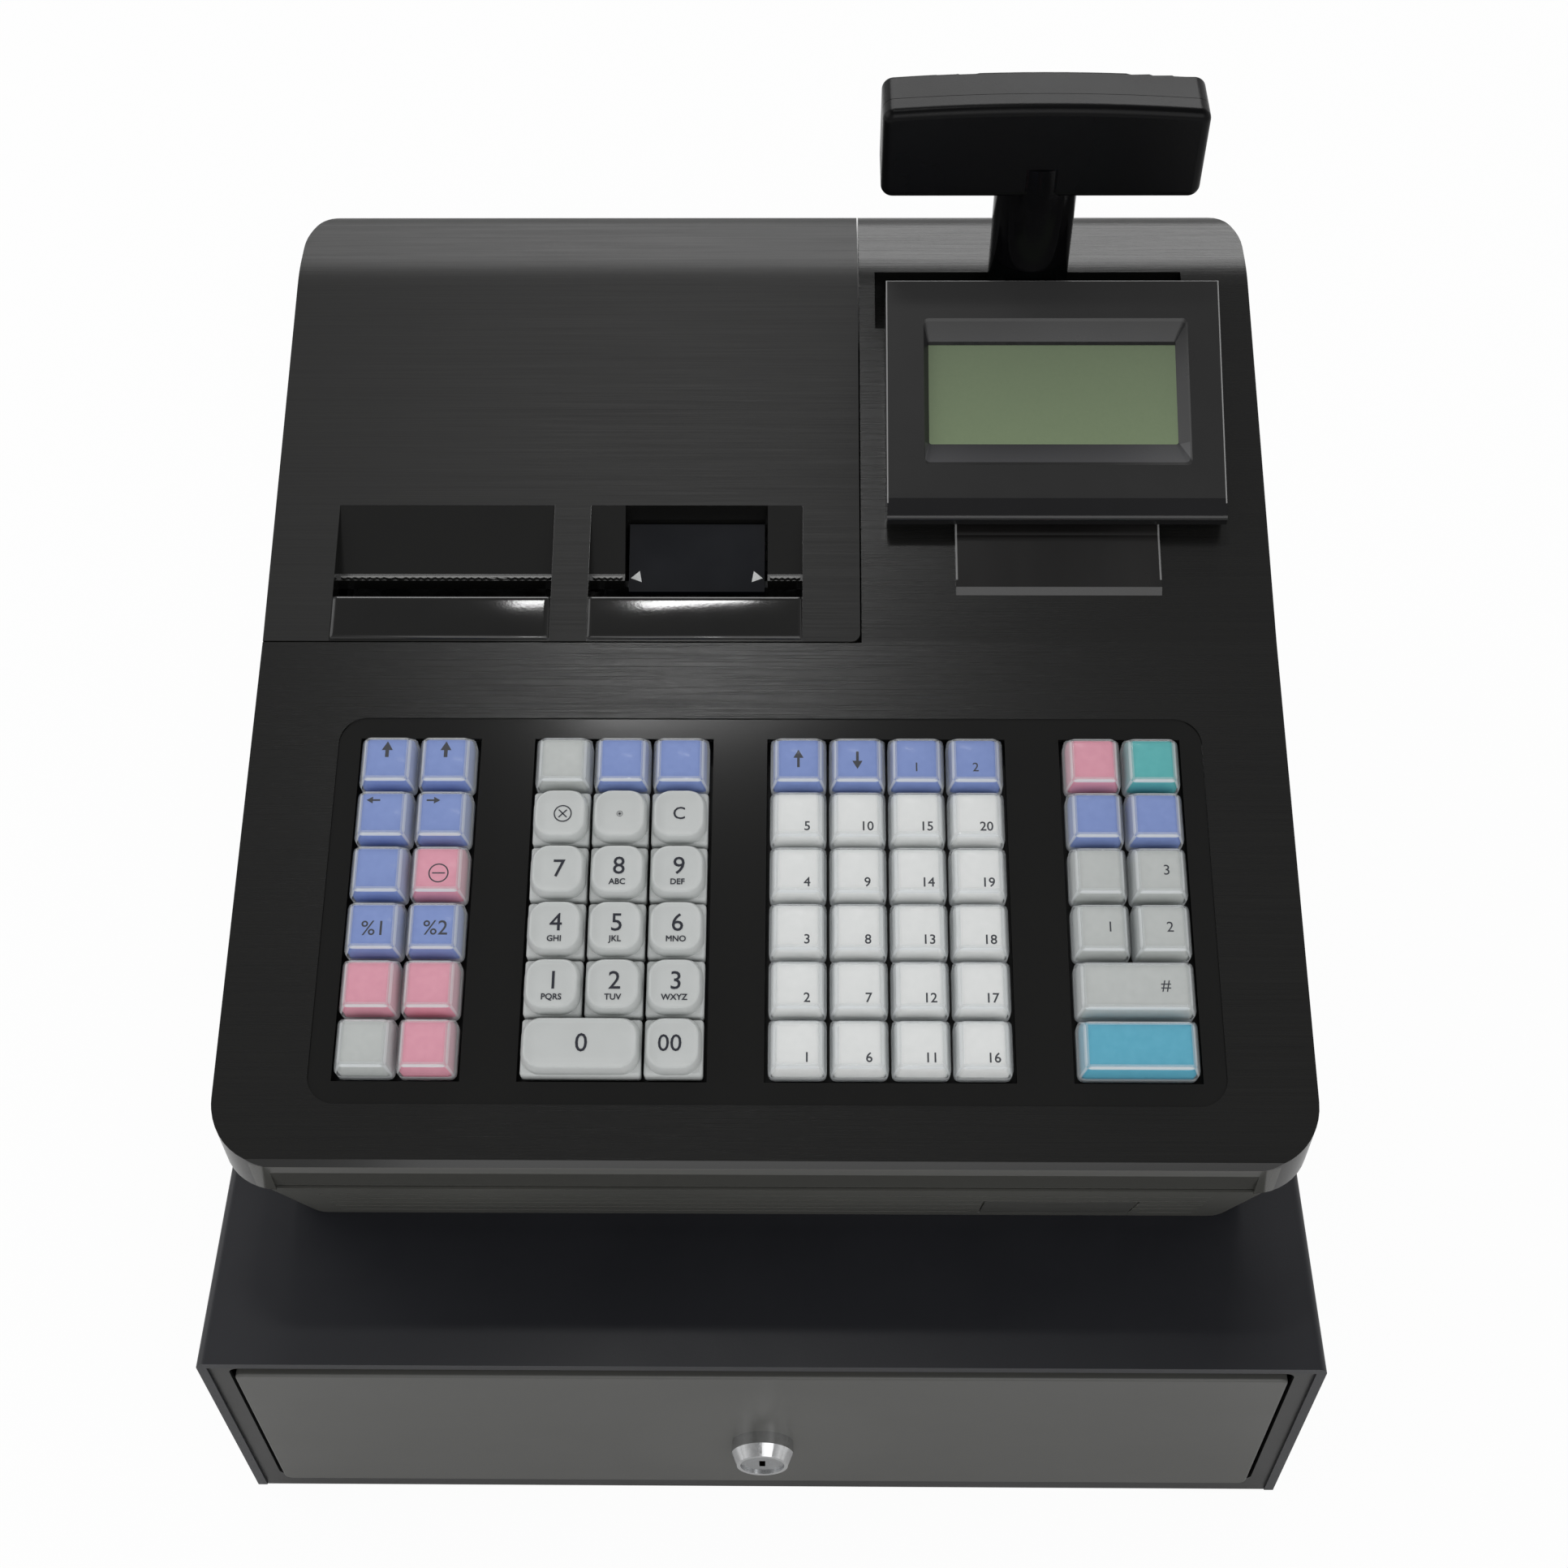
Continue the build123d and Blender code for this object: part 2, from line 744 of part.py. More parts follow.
with BuildPart() as coin_tray:
    block((-tray_half, tray_half), (tray_front_y, tray_rear_y), (tray_bottom, tray_top))
    for number in range(coin_cups):
        left = -tray_half + tray_wall + number * cup_pitch
        block((left, left + cup_pitch - tray_wall), cup_y, pocket_z, mode=Mode.SUBTRACT)
    for number in range(bill_slots):
        left = -tray_half + tray_wall + number * bill_pitch
        block((left, left + bill_pitch - tray_wall), bill_y, pocket_z, mode=Mode.SUBTRACT)
    for side in (-1, 1):
        bay = sorted((side * tray_wall / 2, side * (tray_half - tray_wall)))
        block(bay, rear_bay_y, pocket_z, mode=Mode.SUBTRACT)
    for side in (-1, 1):
        ear = sorted((side * tray_half, side * (tray_half - tray_wall)))
        block(
            ear,
            (clip_rod_y - clip_ear / 2, clip_rod_y + clip_ear / 2),
            (tray_top, clip_rod_z + clip_rod_radius + 1.6),
        )
        rod_x(
            (ear[0] - 1, ear[1] + 1),
            clip_rod_y,
            clip_rod_z,
            clip_rod_radius + running_gap,
            Mode.SUBTRACT,
        )
save(coin_tray, "coin_tray")

# Spring levers that hold the bills down, on one steel rod across the tray.
clip_tip_z = tray_bottom + tray_wall + 1.0
with BuildPart() as bill_clips:
    rod_x((-tray_half, tray_half), clip_rod_y, clip_rod_z, clip_rod_radius)
    for number in range(bill_slots):
        middle = -tray_half + tray_wall / 2 + (number + 0.5) * bill_pitch
        with BuildSketch(Plane.YZ.offset(middle - clip_width / 2)):
            with BuildLine():
                Polyline(
                    (clip_rod_y, clip_rod_z + clip_sheet),
                    (clip_rod_y - 14.0, clip_rod_z + clip_sheet),
                    (clip_rod_y - clip_reach, clip_tip_z + clip_sheet),
                    (clip_rod_y - clip_reach - 8.0, clip_tip_z + clip_sheet + 2.0),
                    (clip_rod_y - clip_reach - 8.0, clip_tip_z + 2.0),
                    (clip_rod_y - clip_reach, clip_tip_z),
                    (clip_rod_y - 14.0, clip_rod_z),
                    (clip_rod_y, clip_rod_z),
                    close=True,
                )
            make_face()
        extrude(amount=clip_width)
save(bill_clips, "bill_clips")

# ================================================================ lock
# Chromed lock body: bevelled collar on the drawer front, threaded barrel, nut behind the pan.
lock_face_y = front_face_y - lock_reach
lock_rear_y = front_face_y + lock_body_length
with BuildPart() as lock_housing:
    with BuildSketch(Plane.YZ) as lock_section:
        with BuildLine():
            Polyline(
                (lock_face_y, lock_height + plug_radius + running_gap),
                (lock_face_y, lock_height + lock_face_radius),
                (front_face_y - lock_collar_step, lock_height + lock_collar_radius),
                (front_face_y, lock_height + lock_collar_radius),
                (front_face_y, lock_height + lock_body_radius),
                (lock_rear_y, lock_height + lock_body_radius),
                (lock_rear_y, lock_height + plug_radius + running_gap),
                close=True,
            )
        make_face()
    revolve(axis=Axis((0, 0, lock_height), (0, 1, 0)))
    nut_y = pan_front_y + pan_sheet
    with BuildSketch(Plane.XZ.offset(-(nut_y + lock_nut_thickness))):
        with Locations((0, lock_height)):
            RegularPolygon(lock_nut_radius, 6)
            Circle(lock_body_radius - 0.5, mode=Mode.SUBTRACT)
    extrude(amount=lock_nut_thickness)
save(lock_housing, "lock_housing")

# Turning plug with the key slot, and the cam screwed to its tail: sideways is unlocked.
cam_y = keeper_y + keeper_gap
with BuildPart() as lock_plug:
    rod_y(0, (lock_face_y + plug_setback, cam_y), lock_height, plug_radius)
    block(
        (-key_slot_width / 2, key_slot_width / 2),
        (lock_face_y, lock_face_y + plug_setback + key_slot_depth),
        (lock_height - key_slot_height / 2, lock_height + key_slot_height / 2),
        mode=Mode.SUBTRACT,
    )
    block(
        (-cam_length, cam_width / 2),
        (cam_y, cam_y + cam_sheet),
        (lock_height - cam_width / 2, lock_height + cam_width / 2),
    )
    rod_y(0, (cam_y + cam_sheet, cam_y + cam_sheet + 3.0), lock_height, screw_head_radius)
save(lock_plug, "lock_plug")

# ================================================================ latch and release
# Hook that drops through the striker's slot, on a pin in the solenoid bracket's ears.
latch_y = back_y - case_sheet - latch_pivot_from_back
latch_z = striker_z + latch_pivot_rise
latch_arm_z = (latch_z - latch_arm_height / 2, latch_z + latch_arm_height / 2)
ear_inside = latch_width / 2 + sliding_gap
ear_outside = ear_inside + latch_ear_sheet
with BuildPart() as latch_hook:
    rod_x((-latch_width / 2, latch_width / 2), latch_y, latch_z, latch_hub_radius)
    block((-latch_width / 2, latch_width / 2), (latch_y - latch_arm, latch_y), latch_arm_z)
    block(
        (-latch_width / 2, latch_width / 2),
        (latch_y - latch_arm, latch_y - latch_arm + latch_tip_length),
        (latch_z - latch_tip_drop, latch_z),
    )
    rod_x((-ear_outside, ear_outside), latch_y, latch_z, latch_pin_radius)
save(latch_hook, "latch_hook")

# Solenoid on its bracket, screwed to the back of the case.
plunger_y = latch_y - plunger_from_pivot
plunger_low = latch_arm_z[1] + plunger_end_gap
solenoid_top = solenoid_base_z + solenoid_height
bracket_back = back_y - case_sheet
with BuildPart() as release_solenoid:
    block(
        (-solenoid_width / 2, solenoid_width / 2),
        (bracket_back - latch_ear_sheet, bracket_back),
        (latch_z + latch_hub_radius + 1.0, solenoid_top),
    )
    for side in (-1, 1):
        ear = sorted((side * ear_inside, side * ear_outside))
        block(ear, (latch_y - latch_hub_radius, bracket_back), (latch_z - latch_hub_radius, solenoid_base_z))
        rod_x((ear[0] - 1, ear[1] + 1), latch_y, latch_z, latch_pin_radius + running_gap, Mode.SUBTRACT)
    block(
        (-solenoid_width / 2, solenoid_width / 2),
        (plunger_y - solenoid_depth / 2, bracket_back),
        (solenoid_base_z, solenoid_top),
    )
    rod_z(0, plunger_y, (solenoid_base_z - 1, solenoid_top + 1), plunger_radius + running_gap, Mode.SUBTRACT)
save(release_solenoid, "release_solenoid")

with BuildPart() as solenoid_plunger:
    rod_z(0, plunger_y, (plunger_low, plunger_low + 6.0), plunger_radius / 2)
    rod_z(0, plunger_y, (plunger_low + 6.0, plunger_low + plunger_length), plunger_radius)
save(solenoid_plunger, "solenoid_plunger")

# ================================================================ register body
wall_lean = atan2(
    (front_y + base_front_setback) - (body_front_y + tub_inset),
    part_line - case_top,
)
front_wall_plane = Plane(
    origin=(0, front_y + base_front_setback, case_top),
    x_dir=(1, 0, 0),
    z_dir=(0, -cos(wall_lean), -sin(wall_lean)),
)
rear_lean = atan2(
    (front_y + base_rear_setback) - (body_rear_y - tub_inset),
    part_line - case_top,
)
gland_rise = (gland_z - case_top) / cos(rear_lean)
rear_wall_plane = Plane(
    origin=(0, front_y + base_rear_setback, case_top),
    x_dir=(-1, 0, 0),
    z_dir=(0, cos(rear_lean), sin(rear_lean)),
)
door_pin_v = door_low + door_pin_rise
door_pin_n = -door_thickness / 2

# Lower cabinet: tub that tapers to the drawer, grooved front, opening for the card door.
with BuildPart() as lower_cabinet:
    add(tub_block(0, case_top, part_line - part_gap))
    add(tub_block(shell_wall, chassis_z, part_line), mode=Mode.SUBTRACT)
    for number in range(rib_count):
        height = rib_start + number * rib_pitch
        with BuildSketch(front_wall_plane):
            with Locations((body_middle, height)):
                Rectangle(2 * rib_half_length, rib_groove)
        extrude(amount=-rib_depth, mode=Mode.SUBTRACT)
    with BuildSketch(front_wall_plane.offset(1.0)):
        with Locations(((door_left + door_right) / 2, (door_low + door_high) / 2)):
            door_size = (door_right - door_left, door_high - door_low)
            Rectangle(door_size[0] + 2 * panel_gap, door_size[1] + 2 * panel_gap)
    extrude(amount=-(shell_wall + 3.0), mode=Mode.SUBTRACT)
    pin_hole_plane = front_wall_plane.offset(door_pin_n)
    pin_hole = pin_hole_plane.from_local_coords(((door_left + door_right) / 2, door_pin_v, 0))
    rod_x(
        (door_left - 3.0, door_right + 3.0),
        pin_hole.Y,
        pin_hole.Z,
        door_pin_radius + running_gap,
        Mode.SUBTRACT,
    )
    with BuildSketch(rear_wall_plane.offset(1.0)):
        with Locations((-gland_x, gland_rise)):
            Circle(gland_radius + running_gap)
    extrude(amount=-(shell_wall + 3.0), mode=Mode.SUBTRACT)
    for x, setback in screw_spots:
        hole_z = (case_top - 1, chassis_z + 1)
        rod_z(x, front_y + setback, hole_z, screw_radius + screw_gap, Mode.SUBTRACT)
save(lower_cabinet, "lower_cabinet")

# Card door: drops forward on two stub pins at its lower edge.
with BuildPart() as card_door:
    with BuildSketch(front_wall_plane):
        with Locations(((door_left + door_right) / 2, (door_low + door_high) / 2)):
            RectangleRounded(*door_size, 1.0)
        with Locations((sum(door_notch_span) / 2, door_high)):
            notch = door_notch_span[1] - door_notch_span[0]
            Rectangle(notch, 2 * door_notch_height, mode=Mode.SUBTRACT)
    extrude(amount=-door_thickness)
    rod_x((door_left - 2.0, door_right + 2.0), pin_hole.Y, pin_hole.Z, door_pin_radius)
save(card_door, "card_door")

# Moulded bush where the mains lead enters.
with BuildPart() as cord_gland:
    with BuildSketch(rear_wall_plane.offset(-shell_wall)):
        with Locations((-gland_x, gland_rise)):
            Circle(gland_radius)
            Circle(gland_bore, mode=Mode.SUBTRACT)
    extrude(amount=shell_wall)
    with BuildSketch(rear_wall_plane):
        with Locations((-gland_x, gland_rise)):
            Circle(gland_flange_radius)
            Circle(gland_bore, mode=Mode.SUBTRACT)
    extrude(amount=gland_flange_sheet)
    with BuildSketch(rear_wall_plane.offset(-shell_wall - gland_flange_sheet)):
        with Locations((-gland_x, gland_rise)):
            Circle(gland_flange_radius)
            Circle(gland_bore, mode=Mode.SUBTRACT)
    extrude(amount=gland_flange_sheet)
save(cord_gland, "cord_gland")

# Steel plate on the tub's floor that carries everything inside.
with BuildPart() as base_chassis:
    chassis_half = base_width / 2 - chassis_inset
    chassis_front = front_y + base_front_setback + chassis_inset
    chassis_y = (chassis_front, front_y + base_rear_setback - chassis_inset)
    block((-chassis_half, chassis_half), chassis_y, (chassis_z, chassis_top))
    for x, setback in screw_spots:
        hole_z = (chassis_z - 1, chassis_top + 1)
        rod_z(x, front_y + setback, hole_z, screw_radius + screw_gap, Mode.SUBTRACT)
save(base_chassis, "base_chassis")

# Pan-head screws through chassis, tub floor and drawer cover.
with BuildPart() as cabinet_screws:
    for x, setback in screw_spots:
        rod_z(x, front_y + setback, (chassis_top, chassis_top + screw_head_height), screw_head_radius)
        rod_z(x, front_y + setback, (chassis_top - screw_length, chassis_top), screw_radius)
save(cabinet_screws, "cabinet_screws")


# ================================================================ keys
def key_x(column):
    """Middle of a key column across the keyboard."""
    return key_grid_x + (column - (key_columns - 1) / 2) * key_pitch


def key_v(row):
    """Middle of a key row up the slope, counted from the front."""
    return (row + 0.5) * key_pitch


def key_cap(columns):
    """One key on the XY plane: skirt, square base, tapered top and square stem."""
    width = columns * key_pitch - key_gap
    depth = key_pitch - key_gap
    with BuildPart() as cap:
        with BuildSketch(Plane.XY.offset(-key_skirt)):
            RectangleRounded(width, depth, key_corner)
        extrude(amount=key_skirt + key_square_rise)
        with BuildSketch(Plane.XY.offset(key_square_rise)):
            RectangleRounded(width, depth, key_corner)
        with BuildSketch(Plane.XY.offset(key_top_rise)):
            RectangleRounded(width - 2 * key_top_inset, depth - 2 * key_top_inset, key_corner)
        loft(ruled=True)
        fillet(cap.faces().sort_by(Axis.Z)[-1].edges(), key_top_round)
        stem_end = key_frame_drop + key_frame_sheet + sliding_gap
        block(
            (-key_stem_side / 2, key_stem_side / 2),
            (-key_stem_side / 2, key_stem_side / 2),
            (-stem_end - key_stem_reach, -key_skirt),
        )
    return cap.part


single_cap = key_cap(1)
double_cap = key_cap(2)
key_blocks = ((0, 2), (3, 3), (7, 4), (12, 2))
wide_keys = {"key_0": (3.5, 0), "subtotal_key": (12.5, 1), "total_key": (12.5, 0)}
single_keys = {
    "key_00": (5, 0),
    "key_1": (3, 1),
    "key_2": (4, 1),
    "key_3": (5, 1),
    "key_4": (3, 2),
    "key_5": (4, 2),
    "key_6": (5, 2),
    "key_7": (3, 3),
    "key_8": (4, 3),
    "key_9": (5, 3),
}
key_banks = {
    "left_function_keys": [(column, row) for row in range(key_rows) for column in (0, 1)],
    "entry_keys": [(column, row) for row in (4, 5) for column in (3, 4, 5)],
    "department_keys_left": [(column, row) for row in range(key_rows) for column in (7, 8)],
    "department_keys_right": [(column, row) for row in range(key_rows) for column in (9, 10)],
    "transaction_keys": [(column, row) for row in range(2, key_rows) for column in (12, 13)],
}
stem_spots = [(key_x(column), key_v(row)) for column, row in wide_keys.values()]
stem_spots += [(key_x(column), key_v(row)) for column, row in single_keys.values()]
for members in key_banks.values():
    stem_spots += [(key_x(column), key_v(row)) for column, row in members]

for name, (column, row) in wide_keys.items():
    with BuildPart(key_plane) as key:
        with Locations((key_x(column), key_v(row))):
            add(double_cap)
    save(key, name)
for name, (column, row) in single_keys.items():
    with BuildPart(key_plane) as key:
        with Locations((key_x(column), key_v(row))):
            add(single_cap)
    save(key, name)
for name, members in key_banks.items():
    with BuildPart(key_plane) as bank:
        with Locations(*[(key_x(column), key_v(row)) for column, row in members]):
            add(single_cap)
    save(bank, name)

# Plate under the panel that guides the key stems, with legs that carry the key board.
keyboard_left = key_x(0) - key_pitch / 2
keyboard_right = key_x(key_columns - 1) + key_pitch / 2
keyboard_length = key_rows * key_pitch
post_columns = (key_x(2), key_x(6), key_x(11))
post_spots = [(x, v) for x in post_columns for v in key_post_rows]
with BuildPart() as key_frame:
    with BuildSketch(key_plane.offset(-key_frame_drop - key_frame_sheet)):
        with Locations(((keyboard_left + keyboard_right) / 2, keyboard_length / 2)):
            frame_width = keyboard_right - keyboard_left + 2 * board_margin
            Rectangle(frame_width, keyboard_length + 2 * board_margin)
        with Locations(*stem_spots):
            stem_hole = key_stem_side + 2 * sliding_gap
            Rectangle(stem_hole, stem_hole, mode=Mode.SUBTRACT)
    extrude(amount=key_frame_sheet)
    with BuildSketch(key_plane.offset(-key_board_drop)):
        with Locations(*post_spots):
            Rectangle(2 * key_post_radius, 2 * key_post_radius)
    extrude(amount=key_board_drop - key_frame_drop - key_frame_sheet)
save(key_frame, "key_frame")

with BuildPart() as key_board:
    with BuildSketch(key_plane.offset(-key_board_drop - key_board_sheet)):
        with Locations(((keyboard_left + keyboard_right) / 2, keyboard_length / 2)):
            Rectangle(frame_width - board_margin, keyboard_length + board_margin)
    extrude(amount=key_board_sheet)
save(key_board, "key_board")

# ================================================================ upper shells
cover_cut_x = cover_edge_x + panel_gap
cover_cut_y = cover_front_y - panel_gap
cover_cut_z = cover_skirt_z - panel_gap
recess_y = (front_y + recess_front_setback, front_y + recess_rear_setback)
stem_y = front_y + stem_setback
hinge_y = front_y + cover_hinge_setback
hinge_z = cover_skirt_z + cover_hinge_rise
pocket_rear = stem_y + stem_radius + 2 * sliding_gap + recess_wall

# Top cabinet: key panel, right-hand roof with the pop-up recess, and the printer bay's walls.
with BuildPart() as bay_walls:
    add(register_block(0, cover_skirt_z - bay_wall_drop, far, body_left, cover_cut_x + shell_wall))
    block(
        (-far, far),
        (cover_cut_y - shell_wall, body_rear_y - shell_wall),
        (0, far),
        mode=Mode.INTERSECT,
    )
    block((-far, cover_cut_x), (cover_cut_y, far), (0, far), mode=Mode.SUBTRACT)

with BuildPart() as recess_box:
    pocket_x = (recess_span[0] - recess_wall, recess_span[1] + recess_wall)
    add(register_block(0, recess_floor_z - recess_wall, far, *pocket_x))
    block(
        (-far, far),
        (recess_y[0] - recess_wall, pocket_rear),
        (0, far),
        mode=Mode.INTERSECT,
    )

with BuildPart() as top_cabinet:
    add(register_block(0, part_line, far))
    add(register_block(shell_wall, part_line - 1, far), mode=Mode.SUBTRACT)
    block((-far, cover_cut_x), (cover_cut_y, far), (cover_cut_z, far), mode=Mode.SUBTRACT)
    block(
        (-far, cover_cut_x),
        (front_y + body_rear_setback - hinge_relief_length, far),
        (cover_skirt_z - cover_relief, far),
        mode=Mode.SUBTRACT,
    )
    add(bay_walls.part)
    add(recess_box.part)
    block(recess_span, recess_y, (recess_floor_z, far), mode=Mode.SUBTRACT)
    rod_z(stem_x, stem_y, (recess_floor_z - 5.0, far), stem_radius + 2 * sliding_gap, Mode.SUBTRACT)
    with BuildSketch(Plane.YZ.offset(body_middle - band_recess_half)):
        with BuildLine():
            Polyline(
                (body_front_y - 1.0, part_line - 1.0),
                (body_front_y + band_recess_depth, part_line - 1.0),
                (body_front_y, part_line + band_recess_height),
                (body_front_y - 1.0, part_line + band_recess_height),
                close=True,
            )
        make_face()
    extrude(amount=2 * band_recess_half, mode=Mode.SUBTRACT)
    step_size = (
        keyboard_right - keyboard_left + 2 * keyboard_step_margin,
        keyboard_length + 2 * keyboard_step_margin,
    )
    with BuildSketch(key_plane):
        with Locations(((keyboard_left + keyboard_right) / 2, keyboard_length / 2)):
            RectangleRounded(*step_size, keyboard_step_corner)
    extrude(amount=-keyboard_step, mode=Mode.SUBTRACT)
    with BuildSketch(key_plane.offset(1.0)):
        for first, count in key_blocks:
            middle = (key_x(first) + key_x(first + count - 1)) / 2
            with Locations((middle, keyboard_length / 2)):
                block_width = count * key_pitch + 2 * key_block_margin
                Rectangle(block_width, keyboard_length + 2 * key_block_margin)
    extrude(amount=-key_hole_depth - 1.0, mode=Mode.SUBTRACT)
    with BuildSketch(key_plane.offset(-key_frame_drop)):
        with Locations(*post_spots):
            Circle(key_post_radius)
    extrude(amount=key_frame_drop - shell_wall / 2)
    for spot in cover_hinge_spots:
        lug = (spot + cover_knuckle + panel_gap, spot + cover_knuckle + panel_gap + cover_lug)
        lug_y = (hinge_y - hinge_lug_rise, body_rear_y - shell_wall)
        lug_z = cover_skirt_z - cover_relief
        block(lug, lug_y, (cover_skirt_z - hinge_lug_drop, lug_z))
        block(lug, (lug_y[0], lug_y[1] - sliding_gap), (lug_z, hinge_z + hinge_lug_rise))
        rod_x((spot + 0.5, lug[1]), hinge_y, hinge_z, cover_pin_radius)
save(top_cabinet, "top_cabinet")

# Printer cover: lifts at the rear, with a paper slot over each station and a window beside one.
with BuildPart() as cover_hollow:
    add(register_block(shell_wall, cover_skirt_z - 1, far, body_left, cover_edge_x - shell_wall))
    block((-far, far), (cover_front_y + shell_wall, far), (0, far), mode=Mode.INTERSECT)
    for left, right in (left_slot, right_slot):
        block(
            (left - shell_wall, right + shell_wall),
            (cover_front_y, front_y + slot_rear_setback + shell_wall),
            (slot_liner_z, far),
            mode=Mode.SUBTRACT,
        )

ramp_foot_z = roof_at(front_y + slot_lip_setback) - slot_depth + 5.0
with BuildPart() as printer_cover:
    add(register_block(0, cover_skirt_z, far, body_left, cover_edge_x))
    with BuildSketch(Plane.XY.offset(cover_skirt_z)):
        with BuildLine():
            FilletPolyline(
                (-far, cover_front_y),
                (cover_edge_x, cover_front_y),
                (cover_edge_x, far),
                (-far, far),
                radius=(0, cover_corner, 0, 0),
                close=True,
            )
        make_face()
    extrude(amount=far, mode=Mode.INTERSECT)
    add(cover_hollow.part, mode=Mode.SUBTRACT)
    for left, right in (left_slot, right_slot):
        with BuildSketch(Plane.YZ.offset(left)):
            with BuildLine():
                Polyline(
                    (front_y + slot_rear_setback, roof_at(front_y + slot_rear_setback)),
                    (front_y + slot_ramp_foot_setback, ramp_foot_z),
                    (front_y + slot_lip_setback, ramp_foot_z),
                    (front_y + slot_lip_setback, far),
                    (front_y + slot_rear_setback, far),
                    close=True,
                )
            make_face()
        extrude(amount=right - left, mode=Mode.SUBTRACT)
        block(
            (left, right),
            (front_y + slot_lip_setback, front_y + slot_ramp_foot_setback - 3.0),
            (slot_liner_z - 1.0, far),
            mode=Mode.SUBTRACT,
        )
    block(
        window_span,
        (front_y + slot_lip_setback, front_y + slot_rear_setback),
        (slot_liner_z - 1.0, far),
        mode=Mode.SUBTRACT,
    )
    for spot in cover_hinge_spots:
        knuckle = (spot, spot + cover_knuckle)
        notch = (knuckle[1], knuckle[1] + cover_lug + 2 * panel_gap)
        notch_z = (cover_skirt_z - 1.0, hinge_z + hinge_clear)
        block(notch, (hinge_y - hinge_clear, far), notch_z, mode=Mode.SUBTRACT)
        rod_x(knuckle, hinge_y, hinge_z, cover_hinge_radius)
        web_z = (hinge_z - cover_hinge_radius / 2, hinge_z + cover_hinge_radius)
        block(knuckle, (hinge_y, body_rear_y - shell_wall / 2), web_z)
        pin_span = (knuckle[0] - 1, knuckle[1] + 1)
        rod_x(pin_span, hinge_y, hinge_z, cover_pin_radius + running_gap, Mode.SUBTRACT)
save(printer_cover, "printer_cover")

# ================================================================ twin printer
platen_y = front_y + platen_setback
roll_y = front_y + roll_setback
spool_y = front_y + spool_setback
station_walls = []
for middle in station_centres:
    left = middle - station_width / 2
    right = middle + station_width / 2
    station_walls += [(left - station_sheet, left), (right, right + station_sheet)]
journal_x = station_centres[1]

# Frame: side plates of both stations on one base, thermal heads, feed motors.
with BuildPart() as printer_frame:
    block(
        (station_walls[0][0], station_walls[-1][1]),
        (front_y + station_front_setback, front_y + station_rear_setback),
        (chassis_top, chassis_top + station_sheet),
    )
    for low, high in station_walls:
        with BuildSketch(Plane.YZ.offset(low)):
            with BuildLine():
                Polyline(
                    (front_y + station_front_setback, chassis_top),
                    (front_y + station_rear_setback, chassis_top),
                    (front_y + station_rear_setback, spool_z + 12.0),
                    (spool_y - 12.0, spool_z + 12.0),
                    (roll_y, roll_z + 18.0),
                    (roll_y - roll_radius, roll_z + 18.0),
                    (platen_y + 20.0, station_top_z),
                    (front_y + station_front_setback, station_top_z),
                    close=True,
                )
            make_face()
        extrude(amount=high - low)
        span = (low - 1, high + 1)
        rod_x(span, platen_y, platen_z, platen_shaft_radius + running_gap, Mode.SUBTRACT)
        rod_x(span, roll_y, roll_z, roll_spindle_radius + running_gap, Mode.SUBTRACT)
        rod_x(span, spool_y, spool_z, roll_spindle_radius + running_gap, Mode.SUBTRACT)
    for middle in station_centres:
        span = (middle - station_width / 2, middle + station_width / 2)
        head_y = platen_y + platen_radius + sliding_gap
        block(span, (head_y, head_y + head_plate_sheet), (platen_z - 9.0, platen_z + 7.0))
        rod_x((span[0], span[0] + motor_length), platen_y + 8.0, platen_z - 34.0, motor_radius)
save(printer_frame, "printer_frame")


def platen(middle, gear_side):
    """Rubber roller on its shaft, with the feed gear outside the frame."""
    wall_out = station_width / 2 + station_sheet
    gear_span = sorted(
        (
            middle + gear_side * (wall_out + sliding_gap),
            middle + gear_side * (wall_out + sliding_gap + platen_gear_width),
        )
    )
    with BuildPart() as roller:
        rod_x((middle - platen_length / 2, middle + platen_length / 2), platen_y, platen_z, platen_radius)
        shaft = sorted((middle - gear_side * (wall_out + 1.0), middle + gear_side * (wall_out + sliding_gap)))
        rod_x(shaft, platen_y, platen_z, platen_shaft_radius)
        with BuildSketch(Plane.YZ.offset(gear_span[0])):
            with Locations((platen_y, platen_z)):
                Circle(platen_gear_radius - 1.0)
                with PolarLocations(platen_gear_radius - 0.9, platen_gear_teeth):
                    Rectangle(1.8, 1.1)
        extrude(amount=platen_gear_width)
    return roller


def paper_roll(middle):
    """Paper roll on its spindle."""
    with BuildPart() as roll:
        rod_x((middle - roll_width / 2, middle + roll_width / 2), roll_y, roll_z, roll_radius)
        half = station_width / 2 + station_sheet
        rod_x((middle - half, middle + half), roll_y, roll_z, roll_spindle_radius)
    return roll


save(platen(station_centres[0], 1), "receipt_platen")
save(platen(station_centres[1], -1), "journal_platen")
save(paper_roll(station_centres[0]), "receipt_roll")
save(paper_roll(station_centres[1]), "journal_roll")

# Spool that winds up the printed journal.
with BuildPart() as take_up_spool:
    half = station_width / 2 + station_sheet
    rod_x((journal_x - half, journal_x + half), spool_y, spool_z, roll_spindle_radius)
    rod_x((journal_x - roll_width / 2, journal_x + roll_width / 2), spool_y, spool_z, spool_radius)
    for side in (-1, 1):
        rim = journal_x + side * (roll_width / 2 + 1.0)
        rod_x(sorted((rim, rim + side * spool_flange_sheet)), spool_y, spool_z, spool_flange_radius)
        rod_x(sorted((journal_x, rim)), spool_y, spool_z, spool_radius)
save(take_up_spool, "take_up_spool")

